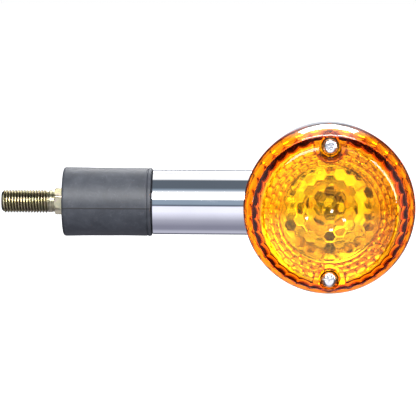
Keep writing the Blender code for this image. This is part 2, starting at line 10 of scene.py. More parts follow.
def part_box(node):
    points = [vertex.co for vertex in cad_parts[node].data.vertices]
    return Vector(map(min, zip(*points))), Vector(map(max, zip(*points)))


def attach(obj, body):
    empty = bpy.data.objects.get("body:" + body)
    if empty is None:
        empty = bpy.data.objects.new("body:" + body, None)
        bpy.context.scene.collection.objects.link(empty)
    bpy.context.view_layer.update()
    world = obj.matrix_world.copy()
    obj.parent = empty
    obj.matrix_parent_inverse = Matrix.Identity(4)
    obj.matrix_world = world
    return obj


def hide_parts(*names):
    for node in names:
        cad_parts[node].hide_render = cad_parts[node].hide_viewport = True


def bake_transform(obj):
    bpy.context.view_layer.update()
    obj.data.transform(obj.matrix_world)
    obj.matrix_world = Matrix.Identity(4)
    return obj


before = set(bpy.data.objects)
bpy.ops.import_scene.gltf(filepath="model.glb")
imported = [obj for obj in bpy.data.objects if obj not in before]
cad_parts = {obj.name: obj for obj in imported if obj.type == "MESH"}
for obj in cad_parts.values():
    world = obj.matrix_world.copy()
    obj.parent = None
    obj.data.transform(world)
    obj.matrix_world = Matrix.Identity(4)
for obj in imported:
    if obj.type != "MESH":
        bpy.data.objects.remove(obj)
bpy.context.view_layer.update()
MM = 0.001


# ---- Mounting stud --------------------------------------------------------------------------------------
# A turned steel stud with a rolled M10 x 1.25 thread, a hexagon collar and a flange bonded into the rubber,
# bored through for the leads. Yellow-chromate zinc plate, bright on the crests and olive in the roots.

def about_stem(x, radius, angle):
    """Points round the stem's axis: angle 0 points backwards along +Y, a quarter turn points up."""
    return np.stack(np.broadcast_arrays(x, radius * np.cos(angle), radius * np.sin(angle)), axis=-1)


def skin(name, loops, closed=False, crease=35.0):
    """A solid from rings of points. Each ring joins the next; closed joins the last one to the first."""
    loops = np.asarray(loops, float)
    rings, steps, _ = loops.shape
    faces = []
    for ring in range(rings if closed else rings - 1):
        a = ring * steps
        b = (ring + 1) % rings * steps
        for step in range(steps):
            after = (step + 1) % steps
            faces.append((a + step, a + after, b + after, b + step))
    if not closed:
        faces.append(tuple(range(steps)))
        faces.append(tuple(range((rings - 1) * steps, rings * steps)))
    mesh = bpy.data.meshes.new(name)
    mesh.from_pydata(loops.reshape(-1, 3).tolist(), [], faces)
    work = bmesh.new()
    work.from_mesh(mesh)
    bmesh.ops.recalc_face_normals(work, faces=work.faces)
    work.to_mesh(mesh)
    work.free()
    mesh.shade_smooth()
    mesh.set_sharp_from_angle(angle=math.radians(crease))
    piece = bpy.data.objects.new(name, mesh)
    bpy.context.collection.objects.link(piece)
    return piece


def turned(name, outline, around, steps=128, closed=True, crease=35.0):
    """A turned solid from an outline of (place along the axis, radius)."""
    angles = np.linspace(0, 2 * math.pi, steps, endpoint=False)
    loops = [around(place, radius, angles) for place, radius in outline]
    return skin(name, loops, closed, crease)


def arc(place, radius, size, first_deg, last_deg, count):
    """Outline points on a part circle; angle 0 points along the axis and 90 degrees outwards."""
    turn = np.radians(np.linspace(first_deg, last_deg, count))
    return [(place + size * math.cos(t), radius + size * math.sin(t)) for t in turn]


def new_group(name, inputs, outputs):
    """An empty shader group with its inputs (name, kind, default) and outputs (name, kind)."""
    group = bpy.data.node_groups.new(name, "ShaderNodeTree")
    for label, kind, default in inputs:
        socket = group.interface.new_socket(name=label, in_out="INPUT", socket_type=kind)
        socket.default_value = default
    for label, kind in outputs:
        group.interface.new_socket(name=label, in_out="OUTPUT", socket_type=kind)
    return group


def add(tree, kind, links=None, **settings):
    """A node with its settings; links gives each input a value or another node's output."""
    node = tree.nodes.new(kind)
    for label, value in settings.items():
        setattr(node, label, value)
    for label, value in (links or {}).items():
        if isinstance(value, bpy.types.NodeSocket):
            tree.links.new(value, node.inputs[label])
        else:
            node.inputs[label].default_value = value
    return node


def here(tree):
    """The place of each point of a piece at rest, in metres."""
    return add(tree, "ShaderNodeTexCoord").outputs["Object"]


def noise(tree, place, scale, detail, **more):
    """A cloudy mask, fine or coarse by its scale."""
    return add(tree, "ShaderNodeTexNoise", {"Vector": place, "Scale": scale, "Detail": detail,
                                            **more}).outputs["Fac"]


def between(tree, value, start, end, low=0.0, high=1.0, clamp=True):
    """A number from low to high, as a value goes from start to end."""
    return add(tree, "ShaderNodeMapRange", {0: value, 1: start, 2: end, 3: low, 4: high},
               clamp=clamp).outputs[0]


def ramp(tree, factor, stops):
    """A colour ramp from (place, colour) stops."""
    node = add(tree, "ShaderNodeValToRGB", {"Fac": factor})
    while len(node.color_ramp.elements) < len(stops):
        node.color_ramp.elements.new(0.5)
    for element, (place, colour) in zip(node.color_ramp.elements, stops):
        element.position = place
        element.color = (*colour, 1)
    return node.outputs["Color"]


def build_handling_marks():
    """Fine scratches, smudges and specks that years of light handling leave on hard finishes."""
    group = new_group(
        "handling_marks",
        [("Scale", "NodeSocketFloat", 1.0), ("Stretch", "NodeSocketVector", (1, 1, 1))],
        [("Scratches", "NodeSocketFloat"), ("Smudges", "NodeSocketFloat"), ("Specks", "NodeSocketFloat")],
    )
    source = group.nodes.new("NodeGroupInput")
    sink = group.nodes.new("NodeGroupOutput")
    place = here(group)
    sized = add(group, "ShaderNodeVectorMath", {0: place, "Scale": source.outputs["Scale"]},
                operation="SCALE")
    pulled = add(group, "ShaderNodeVectorMath", {0: sized.outputs[0], 1: source.outputs["Stretch"]},
                 operation="MULTIPLY")
    fine = noise(group, pulled.outputs[0], 900.0, 4.0)
    lines = between(group, fine, 0.58, 0.72)
    wide = noise(group, sized.outputs[0], 60.0, 5.0)
    soft = between(group, wide, 0.4, 0.7)
    dots = add(group, "ShaderNodeTexVoronoi", {"Vector": sized.outputs[0], "Scale": 500.0})
    spots = between(group, dots.outputs["Distance"], 0.16, 0.06)
    group.links.new(lines, sink.inputs["Scratches"])
    group.links.new(soft, sink.inputs["Smudges"])
    group.links.new(spots, sink.inputs["Specks"])
    return group


def build_passivate_tint():
    """The drifting yellow, olive and pink of a chromate film, and how far the film is rubbed through."""
    group = new_group(
        "passivate_tint",
        [("Scale", "NodeSocketFloat", 1.0)],
        [("Tint", "NodeSocketColor"), ("Rubbed", "NodeSocketFloat")],
    )
    source = group.nodes.new("NodeGroupInput")
    sink = group.nodes.new("NodeGroupOutput")
    place = here(group)
    sized = add(group, "ShaderNodeVectorMath", {0: place, "Scale": source.outputs["Scale"]},
                operation="SCALE")
    drift = noise(group, sized.outputs[0], 320.0, 3.0)
    tint = ramp(group, drift, [
        (0.30, (0.30, 0.33, 0.12)), (0.43, (0.72, 0.62, 0.22)), (0.52, (0.86, 0.74, 0.34)),
        (0.60, (0.66, 0.42, 0.30)), (0.70, (0.42, 0.48, 0.20)),
    ])
    worn = noise(group, sized.outputs[0], 90.0, 6.0)
    rubbed = between(group, worn, 0.5, 0.72)
    group.links.new(tint, sink.inputs["Tint"])
    group.links.new(rubbed, sink.inputs["Rubbed"])
    return group


handling_marks = build_handling_marks()
passivate_tint = build_passivate_tint()


def new_material(name, **values):
    """A material with its Principled shader; values are numbers or colours for the shader's sockets."""
    material = bpy.data.materials.new(name)
    material.use_nodes = True
    shader = material.node_tree.nodes["Principled BSDF"]
    for label, value in values.items():
        shader.inputs[label.replace("_", " ")].default_value = value
    return material, material.node_tree, shader


def placed(tree, group, **values):
    """A shader group put in a material with its own values."""
    node = tree.nodes.new("ShaderNodeGroup")
    node.node_tree = group
    for label, value in values.items():
        node.inputs[label].default_value = value
    return node


def mixed(tree, factor, first, second, blend="MIX"):
    """One colour mixed over another."""
    node = add(tree, "ShaderNodeMix", data_type="RGBA", blend_type=blend)
    for index, value in ((0, factor), (6, first), (7, second)):
        if isinstance(value, bpy.types.NodeSocket):
            tree.links.new(value, node.inputs[index])
        else:
            node.inputs[index].default_value = value if index == 0 else (*value, 1)
    return node.outputs[2]


def spread(tree, value, low, high):
    """A mask from 0 to 1 turned into a range of numbers."""
    return between(tree, value, 0.0, 1.0, low, high)


def finish_with(tree, shader, colour, roughness):
    """Feeds a colour and a roughness into the shader."""
    tree.links.new(colour, shader.inputs["Base Color"])
    tree.links.new(roughness, shader.inputs["Roughness"])


def raised(tree, shader, height, strength, distance):
    """Feeds a height through a bump node into the shader's normal."""
    bump = add(tree, "ShaderNodeBump", {"Height": height, "Strength": strength, "Distance": distance})
    tree.links.new(bump.outputs["Normal"], shader.inputs["Normal"])


def paint_yellow_zinc():
    """Yellow passivated zinc, rubbed pale on the thread's crests and darker olive-brown down in its roots.
    """
    material, tree, shader = new_material("yellow_zinc", Metallic=1.0)
    film = placed(tree, passivate_tint, Scale=1.0)
    marks = placed(tree, handling_marks, Scale=1.0, Stretch=(0.25, 1, 1))
    colour = mixed(tree, film.outputs["Rubbed"], (0.84, 0.81, 0.66), (0.88, 0.87, 0.80))
    colour = mixed(tree, 0.5, colour, film.outputs["Tint"])
    place = here(tree)
    round_axis = add(tree, "ShaderNodeVectorMath", {0: place, 1: (0, 1, 1)}, operation="MULTIPLY")
    radius = add(tree, "ShaderNodeVectorMath", {0: round_axis.outputs[0]},
                 operation="LENGTH").outputs["Value"]
    # Darker olive-brown towards the thread's roots and the relief groove, by radius from the stud's axis.
    clean = between(tree, radius, 4.32 * MM, 4.72 * MM)
    colour = mixed(tree, clean, (0.13, 0.11, 0.06), colour)
    finish_with(tree, shader, colour, spread(tree, marks.outputs["Smudges"], 0.2, 0.36))
    raised(tree, shader, marks.outputs["Scratches"], 0.25, 0.02 * MM)
    return material


def thread_height(phase):
    """How far up its flank a point of the thread is, from 0 in the root to 1 on the rounded crest."""
    rise = np.clip(1.18 - 2.7 * np.abs(phase - 0.5), 0, 1)
    return rise * rise * (3 - 2 * rise) * 0.35 + rise * 0.65


stud_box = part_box("mounting_stud")
rubber_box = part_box("damper_rubber")
stud_tip = stud_box[0].x
crest_r = 5.0 * MM
root_r = 4.28 * MM
pitch = 1.25 * MM
thread_end = -1.9 * MM
bore_r = 2.5 * MM
collar_face = rubber_box[0].x - 0.05 * MM
flange_front = rubber_box[0].x + 3.1 * MM
flange_r = stud_box[1].y


def stud_rings():
    """The stud's rings: chamfer, thread, relief groove, collar, neck, flange, and the bore to the tip."""
    steps = 96
    angles = np.linspace(0, 2 * math.pi, steps, endpoint=False)
    rings = [about_stem(stud_tip, 3.5 * MM, angles), about_stem(stud_tip, 3.7 * MM, angles)]
    samples = 14
    count = int((thread_end - stud_tip) / pitch * samples)
    for index in range(1, count + 1):
        x = stud_tip + index * pitch / samples
        phase = ((x - stud_tip) / pitch - angles / (2 * math.pi)) % 1.0
        runout = np.clip((thread_end - x) / (1.3 * pitch), 0, 1)
        chamfer = 3.7 * MM + (x - stud_tip) * 1.05
        radius = root_r + (crest_r - root_r) * thread_height(phase) * runout
        radius += (4.72 * MM - root_r) * (1 - runout) * 0.9
        rings.append(about_stem(x, np.minimum(radius, chamfer), angles))
    for x, radius in [(-1.15 * MM, 4.72 * MM), (-0.95 * MM, 4.5 * MM), (-0.12 * MM, 4.45 * MM),
                      (0, 4.6 * MM)]:
        rings.append(about_stem(x, radius, angles))
    flats = 5.0 * MM / np.cos((angles + math.pi / 2) % (math.pi / 3) - math.pi / 6)
    flats = np.minimum(flats, 5.68 * MM)
    for x, limit in [(0.0, 5.15 * MM), (0.12 * MM, 5.35 * MM), (0.45 * MM, 5.8 * MM),
                     (collar_face, 5.8 * MM)]:
        rings.append(about_stem(x, np.minimum(flats, limit), angles))
    for x, radius in [(collar_face, 4.9 * MM), (flange_front, 4.9 * MM), (flange_front, flange_r),
                      (stud_box[1].x, flange_r), (stud_box[1].x, bore_r), (stud_tip + 0.5 * MM, bore_r),
                      (stud_tip, 3.0 * MM)]:
        rings.append(about_stem(x, radius, angles))
    return rings


stud = skin("stud_finish", stud_rings(), closed=True, crease=40)
stud.data.materials.append(paint_yellow_zinc())
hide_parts("mounting_stud")
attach(stud, "mount")


# ---- Rubber damper --------------------------------------------------------------------------------------
# One moulded rubber cushion, made as two halves that meet in its middle, because it bends in two places.
# It has the mould's parting line along both sides and a thin lip where it meets the stem.

def build_moulded_grain():
    """Moulded rubber's skin: cloudy patches, fine grain and dust, with their heights."""
    group = new_group(
        "moulded_grain",
        [("Scale", "NodeSocketFloat", 1.0)],
        [("Clouds", "NodeSocketFloat"), ("Grain", "NodeSocketFloat"), ("Scuffs", "NodeSocketFloat")],
    )
    source = group.nodes.new("NodeGroupInput")
    sink = group.nodes.new("NodeGroupOutput")
    place = here(group)
    sized = add(group, "ShaderNodeVectorMath", {0: place, "Scale": source.outputs["Scale"]},
                operation="SCALE")
    clouds = noise(group, sized.outputs[0], 150.0, 7.0, Roughness=0.62, Distortion=0.4)
    grain = noise(group, sized.outputs[0], 2200.0, 3.0)
    scuff = noise(group, sized.outputs[0], 420.0, 6.0, Roughness=0.7, Distortion=1.2)
    scuffs = between(group, scuff, 0.56, 0.7)
    group.links.new(clouds, sink.inputs["Clouds"])
    group.links.new(grain, sink.inputs["Grain"])
    group.links.new(scuffs, sink.inputs["Scuffs"])
    return group


moulded_grain = build_moulded_grain()


parting_deg = -176.0
# Height of a thin painted shade line, set a little below the front parting ridge.
shade_drop_deg = 8.5
ridge_shade_z = rubber_box[1].y * math.sin(math.radians(parting_deg + 180 - shade_drop_deg))


def calculated(tree, operation, *values):
    """The result of one step of arithmetic on numbers or masks."""
    return add(tree, "ShaderNodeMath", dict(enumerate(values)), operation=operation).outputs[0]


def paint_damper_rubber():
    """Charcoal rubber with a soft shine, cloudy with bloom, and a thin line of painted shade just under the
    mould's parting ridge.
    """
    material, tree, shader = new_material("damper_rubber", Specular_IOR_Level=0.8)
    skin_marks = placed(tree, moulded_grain, Scale=1.0)
    colour = ramp(tree, skin_marks.outputs["Clouds"], [
        (0.30, (0.024, 0.027, 0.036)), (0.50, (0.036, 0.041, 0.053)), (0.70, (0.056, 0.062, 0.078)),
    ])
    colour = mixed(tree, spread(tree, skin_marks.outputs["Scuffs"], 0.0, 0.3), colour, (0.14, 0.15, 0.18))
    parts = add(tree, "ShaderNodeSeparateXYZ", {"Vector": here(tree)})
    wander = add(tree, "ShaderNodeTexNoise", {"W": parts.outputs["X"], "Scale": 300.0},
                 noise_dimensions="1D")
    drift = spread(tree, wander.outputs["Fac"], -0.15 * MM, 0.15 * MM)
    height = calculated(tree, "ADD", parts.outputs["Z"], drift)
    above = calculated(tree, "SUBTRACT", height, ridge_shade_z)
    away = calculated(tree, "ABSOLUTE", above)
    # Painted shade: a thin dark line just under the parting ridge, wavering slightly along the cushion.
    ridge_shade = between(tree, away, 0.42 * MM, 0.12 * MM)
    colour = mixed(tree, ridge_shade, colour, (0.012, 0.012, 0.014))
    finish_with(tree, shader, colour, spread(tree, skin_marks.outputs["Clouds"], 0.42, 0.60))
    height = calculated(tree, "ADD", skin_marks.outputs["Grain"], skin_marks.outputs["Scuffs"])
    raised(tree, shader, height, 0.35, 0.03 * MM)
    return material


rubber_left = rubber_box[0].x
rubber_right = rubber_box[1].x
rubber_middle = (rubber_left + rubber_right) / 2
rubber_left_r = rubber_box[1].y
rubber_right_r = 14.5 * MM


def rubber_radius(x, angles, corner_left=1.1 * MM, corner_right=0.5 * MM):
    """The cushion's outer radius: a slight taper, round ends, a lip at the stem and two parting ridges."""
    along = (x - rubber_left) / (rubber_right - rubber_left)
    waist = 0.12 * MM * math.sin(math.pi * along)
    radius = rubber_left_r + (rubber_right_r - rubber_left_r) * along - waist
    radius -= 0.22 * MM * math.exp(-(((x - rubber_right + 1.75 * MM) / (0.22 * MM)) ** 2))
    radius += 0.10 * MM * math.exp(-(((x - rubber_right + 1.05 * MM) / (0.4 * MM)) ** 2))
    for distance, corner in ((x - rubber_left, corner_left), (rubber_right - x, corner_right)):
        if distance < corner:
            radius -= corner - math.sqrt(max(0.0, corner**2 - (corner - distance) ** 2))
    ridge = np.zeros_like(angles)
    for middle in (math.radians(parting_deg), math.radians(parting_deg + 180)):
        away = np.abs((angles - middle + math.pi) % (2 * math.pi) - math.pi) * radius
        ridge += np.exp(-((away / (0.16 * MM)) ** 2))
    waver = 0.04 * MM * np.sin(3 * angles + x * 160) * math.sin(x * 210)
    return radius + 0.13 * MM * ridge + waver


def rubber_half(name, left, right, inner):
    """Half the cushion between two places; inner is its inside outline, from right to left."""
    steps = 240
    angles = np.linspace(0, 2 * math.pi, steps, endpoint=False)
    places = set(np.linspace(left, right, 40).tolist())
    for end in (rubber_left, rubber_right):
        for index in range(10):
            inwards = 1.3 * MM * (index / 9) ** 1.8
            place = end + inwards if end == rubber_left else end - inwards
            if left <= place <= right:
                places.add(place)
    if right == rubber_right:
        places.update(np.linspace(rubber_right - 2.4 * MM, rubber_right - 0.6 * MM, 16).tolist())
    rings = [about_stem(x, rubber_radius(x, angles), angles) for x in sorted(places)]
    rings += [about_stem(x, radius, angles) for x, radius in inner]
    return skin(name, rings, closed=True, crease=50)


lead_bore = 3.2 * MM
pocket_r = flange_r + 0.5 * MM
left_inner = [(rubber_middle, lead_bore), (flange_front + 3.0 * MM, lead_bore),
              (flange_front + 3.0 * MM, pocket_r),
              (flange_front - 0.4 * MM, pocket_r), (flange_front - 0.4 * MM, 5.0 * MM),
              (rubber_left, 5.0 * MM)]
right_inner = [(rubber_right, 8.2 * MM), (rubber_right - 3.3 * MM, 8.2 * MM),
               (rubber_right - 3.3 * MM, pocket_r),
               (rubber_right - 6.7 * MM, pocket_r), (rubber_right - 6.7 * MM, lead_bore),
               (rubber_middle, lead_bore)]
rubber_paint = paint_damper_rubber()
quarter = (rubber_right - rubber_left) / 4
for half, ends, inner, bodies, pivot in (
    ("damper_rubber_stud_half", (rubber_left, rubber_middle), left_inner, ("mount", "damper"),
     rubber_left + quarter),
    ("damper_rubber_stem_half", (rubber_middle, rubber_right), right_inner, ("damper", "head"),
     rubber_right - quarter),
):
    cushion = rubber_half(half, *ends, inner)
    cushion.data.materials.append(rubber_paint)
    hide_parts("damper_rubber")
    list(bodies)
    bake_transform(cushion)


# ---- Chrome stem ----------------------------------------------------------------------------------------
# A drawn steel tube with a rounded edge against the rubber, chrome plated. The damper's steel insert is
# pressed into its left end, and a retaining ring snaps into a groove inside the housing.

def paint_chrome(name, tint, polish, waviness):
    """Decorative chrome: a bright tint, a faint haze of fine specks and a long slow waviness."""
    material, tree, shader = new_material(name, Metallic=1.0)
    marks = placed(tree, handling_marks, Scale=0.8, Stretch=(0.15, 1, 1))
    dulling_and_shade = tuple(part * 0.9 for part in tint)
    colour = mixed(tree, spread(tree, marks.outputs["Smudges"], 0.0, 0.5), tint, dulling_and_shade)
    tree.links.new(colour, shader.inputs["Base Color"])
    rough = calculated(tree, "MAXIMUM", marks.outputs["Specks"], marks.outputs["Scratches"])
    tree.links.new(spread(tree, rough, polish, polish * 3.5), shader.inputs["Roughness"])
    place = here(tree)
    waves = noise(tree, place, 70.0, 2.0)
    pits = noise(tree, place, 1100.0, 2.0)
    surface = calculated(tree, "MULTIPLY_ADD", pits, 0.12, waves)
    raised(tree, shader, surface, waviness, 0.2 * MM)
    return material


stem_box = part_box("stem_tube")
stem_r = stem_box[1].z
stem_bore = stem_r - 1.2 * MM
clip_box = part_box("stem_clip")
groove = (clip_box[0].x - 0.1 * MM, clip_box[1].x + 0.1 * MM)
chrome = paint_chrome("stem_chrome", (0.83, 0.84, 0.87), 0.035, 0.035)
tube_outline = [(stem_box[0].x, stem_r - 0.9 * MM)] + arc(stem_box[0].x + 0.5 * MM, stem_r - 0.5 * MM,
                                                          0.5 * MM,
                                                          180, 90, 7)
tube_outline += [(stem_box[0].x + share * (groove[0] - stem_box[0].x), stem_r) for share in (0.2, 0.4, 0.6,
                                                                                             0.8)]
tube_outline += [(groove[0], stem_r), (groove[0], stem_r - 0.5 * MM), (groove[1], stem_r - 0.5 * MM),
                 (groove[1], stem_r), (stem_box[1].x - 0.2 * MM, stem_r),
                 (stem_box[1].x, stem_r - 0.2 * MM),
                 (stem_box[1].x, stem_bore), (stem_box[0].x, stem_bore)]
stem = turned("stem_tube_finish", tube_outline, about_stem, steps=192)
stem.data.materials.append(chrome)
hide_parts("stem_tube")
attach(stem, "head")


def paint_bare_metal(name, tint, smudged, rough, scale, stretch, cut=0.0):
    """Metal with its clean and smudged tints, smooth and scratched roughness, and the scratches' depth."""
    material, tree, shader = new_material(name, Metallic=1.0)
    marks = placed(tree, handling_marks, Scale=scale, Stretch=stretch)
    tree.links.new(mixed(tree, marks.outputs["Smudges"], tint, smudged), shader.inputs["Base Color"])
    tree.links.new(spread(tree, marks.outputs["Scratches"], *rough), shader.inputs["Roughness"])
    if cut:
        raised(tree, shader, marks.outputs["Scratches"], cut, 0.02 * MM)
    return material


def paint_plated_steel(name, tint):
    """Bright zinc plate over turning marks."""
    smudged = tuple(part * 0.82 for part in tint)
    return paint_bare_metal(name, tint, smudged, (0.24, 0.42), 1.2, (1, 0.2, 1), cut=0.2)


insert_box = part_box("damper_insert")
plug_r = insert_box[1].z
plate_x = insert_box[0].x
insert_outline = [(plate_x, 3.4 * MM), (plate_x, flange_r - 0.3 * MM), (plate_x + 0.3 * MM, flange_r),
                  (plate_x + 2.2 * MM, flange_r), (plate_x + 2.5 * MM, flange_r - 0.3 * MM),
                  (plate_x + 2.5 * MM, 8.0 * MM), (stem_box[0].x + 0.02 * MM, 8.0 * MM),
                  (stem_box[0].x + 0.02 * MM, plug_r), (insert_box[1].x - 1.0 * MM, plug_r),
                  (insert_box[1].x, plug_r - 1.0 * MM), (insert_box[1].x, 3.8 * MM),
                  (insert_box[1].x - 0.6 * MM, 3.2 * MM), (plate_x + 0.2 * MM, 3.2 * MM)]
insert = turned("damper_insert_finish", insert_outline, about_stem, steps=96)
plated = paint_plated_steel("plated_steel", (0.66, 0.66, 0.64))
insert.data.materials.append(plated)
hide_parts("damper_insert")
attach(insert, "head")


def paint_spring_steel():
    """Oil-blacked spring wire, worn bright where it rubs."""
    black, worn = (0.22, 0.22, 0.23), (0.42, 0.42, 0.42)
    return paint_bare_metal("spring_steel", black, worn, (0.28, 0.45), 1.5, (1, 1, 1))


def open_ring(name, place, inner_r, outer_r, thick, gap_deg):
    """A flat retaining ring with a gap at its bottom and rounded corners."""
    half_gap = math.radians(gap_deg) / 2
    angles = np.linspace(-math.pi / 2 + half_gap, 1.5 * math.pi - half_gap, 96)
    soft = 0.12 * MM
    section = [(0, inner_r), (0, outer_r - soft), (soft, outer_r), (thick - soft, outer_r),
               (thick, outer_r - soft),
               (thick, inner_r)]
    loops = [[about_stem(place + x, radius, angle) for x, radius in section] for angle in angles]
    return skin(name, loops, closed=False)


spring_paint = paint_spring_steel()
clip = open_ring("stem_clip_finish", clip_box[0].x, stem_r - 0.45 * MM, clip_box[1].z, 1.0 * MM, 24)
clip.data.materials.append(spring_paint)
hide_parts("stem_clip")
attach(clip, "head")


# ---- Housing bowl ---------------------------------------------------------------------------------------
# A deep pressed steel bowl with a rolled rim, chrome plated. The stem enters its left side, and it has a
# small drain hole underneath. Two threaded posts inside take the lens screws.

lens_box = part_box("lens")
bowl_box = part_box("housing_bowl")
lamp_x = (lens_box[0].x + lens_box[1].x) / 2


def about_lamp(y, radius, angle):
    """Points round the lamp's axis: angle 0 points along +X, a quarter turn points up."""
    return np.stack(np.broadcast_arrays(lamp_x + radius * np.cos(angle), y, radius * np.sin(angle)),
                    axis=-1)


def carve(piece, tool, operation="DIFFERENCE", crease=30.0):
    """Cuts or joins one closed mesh with another, and keeps only the result."""
    modifier = piece.modifiers.new(tool.name, "BOOLEAN")
    modifier.operation = operation
    modifier.solver = "MANIFOLD"
    modifier.object = tool
    bpy.context.view_layer.update()
    shaped = piece.evaluated_get(bpy.context.evaluated_depsgraph_get())
    mesh = bpy.data.meshes.new_from_object(shaped)
    piece.modifiers.remove(modifier)
    old = piece.data
    mesh.materials.clear()
    piece.data = mesh
    bpy.data.meshes.remove(old)
    bpy.data.objects.remove(tool)
    mesh.shade_smooth()
    mesh.set_sharp_from_angle(angle=math.radians(crease))


bowl_front = bowl_box[0].y
bowl_back = bowl_box[1].y
bowl_rim_r = (bowl_box[1].x - bowl_box[0].x) / 2
bowl_wall = 1.2 * MM
bowl_corner = 13.0 * MM
back_r = 20.4 * MM


def bowl_side(wall):
    """The bowl from behind its rim to its back, set inwards by the wall."""
    side = []
    for share in np.linspace(0.06, 1, 14):
        y = bowl_front + share * (bowl_back - bowl_corner - bowl_front)
        bulge = 0.35 * MM * math.sin(math.pi * share)
        side.append((y, bowl_rim_r - 0.6 * MM - 1.5 * MM * share**1.3 + bulge - wall))
    side += arc(bowl_back - bowl_corner, back_r, bowl_corner - wall, 88, 8, 16)
    crown = 0.5 * MM
    for radius in (16 * MM, 11 * MM, 6 * MM, 1.5 * MM):
        side.append((bowl_back - wall - crown * (radius / (20 * MM)) ** 2 * 0.5, radius))
    return side


rolled_rim = arc(bowl_front + 0.9 * MM, bowl_rim_r - 0.9 * MM, 0.9 * MM, 20, 190, 12)
bowl_outline = bowl_side(0.0)[::-1] + rolled_rim + [(bowl_front + 0.6 * MM, bowl_rim_r - 1.9 * MM)]
bowl_outline += bowl_side(bowl_wall)
bowl = turned("housing_bowl_finish", bowl_outline, about_lamp, steps=200, closed=False)
carve(bowl, turned("stem_hole", [(70 * MM, stem_r + 0.06 * MM), (100 * MM, stem_r + 0.06 * MM)], about_stem,
                   steps=128, closed=False))
drain = turned("drain_hole", [(-40 * MM, 1.5 * MM), (-28 * MM, 1.5 * MM)], about_stem, steps=40,
               closed=False)
drain.data.transform(Matrix.Translation((lamp_x, 5 * MM, 0)) @ Matrix.Rotation(-math.pi / 2, 4, "Y"))
carve(bowl, drain)
bowl_chrome = paint_chrome("bowl_chrome", (0.83, 0.84, 0.87), 0.035, 0.08)
bowl.data.materials.append(bowl_chrome)
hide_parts("housing_bowl")
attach(bowl, "head")


def moved_lamp(dx, dz):
    """Points round an axis beside the lamp's own one."""

    def around(y, radius, angle):
        return about_lamp(y, radius, angle) + np.array([dx, 0, dz])

    return around


def coil_thread(first, last, crest, root, lead, around, samples=8, steps=32):
    """Rings of a helical thread from one place to another, fading out at both ends."""
    angles = np.linspace(0, 2 * math.pi, steps, endpoint=False)
    count = max(2, int(abs(last - first) / lead * samples))
    rings = []
    for index in range(count + 1):
        y = first + (last - first) * index / count
        phase = ((y - first) / lead - angles / (2 * math.pi)) % 1.0
        fade = min(1.0, index / samples, (count - index) / samples)
        radius = root + (crest - root) * thread_height(phase) * fade
        rings.append(around(y, radius, angles))
    return rings


screw_z = (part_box("lens_screw_upper")[0].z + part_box("lens_screw_upper")[1].z) / 2
for side, z in (("upper", screw_z), ("lower", -screw_z)):
    post_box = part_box("lens_post_" + side)
    post_r = post_box[1].x - lamp_x
    around = moved_lamp(0, z)
    steps = 48
    angles = np.linspace(0, 2 * math.pi, steps, endpoint=False)
    hexed = (post_r - 0.25 * MM) / np.cos(angles % (math.pi / 3) - math.pi / 6)
    hexed = np.minimum(hexed, post_r)
    front, back = post_box[0].y, post_box[1].y
    rings = [around(front, 2.3 * MM, angles), around(front, 3.1 * MM, angles)]
    rings += [around(front + 0.3 * MM, hexed, angles), around(back - 4 * MM, hexed, angles)]
    rings += [around(back - 4 * MM, 3.0 * MM, angles), around(back, 3.0 * MM, angles)]
    rings += [around(back, 2.1 * MM, angles)]
    rings += coil_thread(back - 0.1 * MM, front + 0.6 * MM, 2.25 * MM, 2.08 * MM, 0.7 * MM, around, 6,
                         steps)
    post = skin("lens_post_" + side + "_finish", rings, closed=True)
    post.data.materials.append(plated)
    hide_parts("lens_post_" + side)
    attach(post, "head")


# ---- Gasket ---------------------------------------------------------------------------------------------
# A soft black rubber ring between the bowl's rim and the back of the lens, squeezed slightly by the screws.

def paint_seal_rubber():
    """Soft black rubber with a dusty bloom."""
    material, tree, shader = new_material("seal_rubber", Specular_IOR_Level=0.4)
    skin_marks = placed(tree, moulded_grain, Scale=1.6)
    colour = mixed(tree, skin_marks.outputs["Clouds"], (0.012, 0.012, 0.013), (0.035, 0.035, 0.037))
    finish_with(tree, shader, colour, spread(tree, skin_marks.outputs["Clouds"], 0.5, 0.75))
    raised(tree, shader, skin_marks.outputs["Grain"], 0.2, 0.02 * MM)
    return material


gasket_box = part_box("lens_gasket")
gasket_r = (gasket_box[1].x - gasket_box[0].x) / 2
gasket_y = (gasket_box[0].y + gasket_box[1].y) / 2
gasket_outline = [(gasket_box[0].y - 0.15 * MM, gasket_r - 2.0 * MM),
                  (gasket_box[0].y - 0.15 * MM, gasket_r - 0.5 * MM),
                  (gasket_box[0].y + 0.15 * MM, gasket_r - 0.1 * MM), (gasket_y, gasket_r),
                  (gasket_box[1].y - 0.15 * MM, gasket_r - 0.1 * MM),
                  (gasket_box[1].y + 0.15 * MM, gasket_r - 0.5 * MM),
                  (gasket_box[1].y + 0.15 * MM, gasket_r - 2.0 * MM)]
seal_paint = paint_seal_rubber()
gasket = turned("lens_gasket_finish", gasket_outline, about_lamp, steps=200, crease=60)
gasket.data.materials.append(seal_paint)
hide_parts("lens_gasket")
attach(gasket, "head")


# ---- Reflector ------------------------------------------------------------------------------------------
# A pressed aluminium dish, polished bright, with a flat flange, stiffening beads and two screw holes. The
# bulb socket is swaged into its middle.

def from_lamp(tree, place):
    """A point's place from the lamp's middle, in its three parts, and its radius about the lamp's axis."""
    centred = add(tree, "ShaderNodeVectorMath", {0: place, 1: (-lamp_x, 0, 0)})
    flat = add(tree, "ShaderNodeVectorMath", {0: centred.outputs[0], 1: (1, 0, 1)}, operation="MULTIPLY")
    radius = add(tree, "ShaderNodeVectorMath", {0: flat.outputs[0]}, operation="LENGTH").outputs["Value"]
    return add(tree, "ShaderNodeSeparateXYZ", {"Vector": centred.outputs[0]}), radius


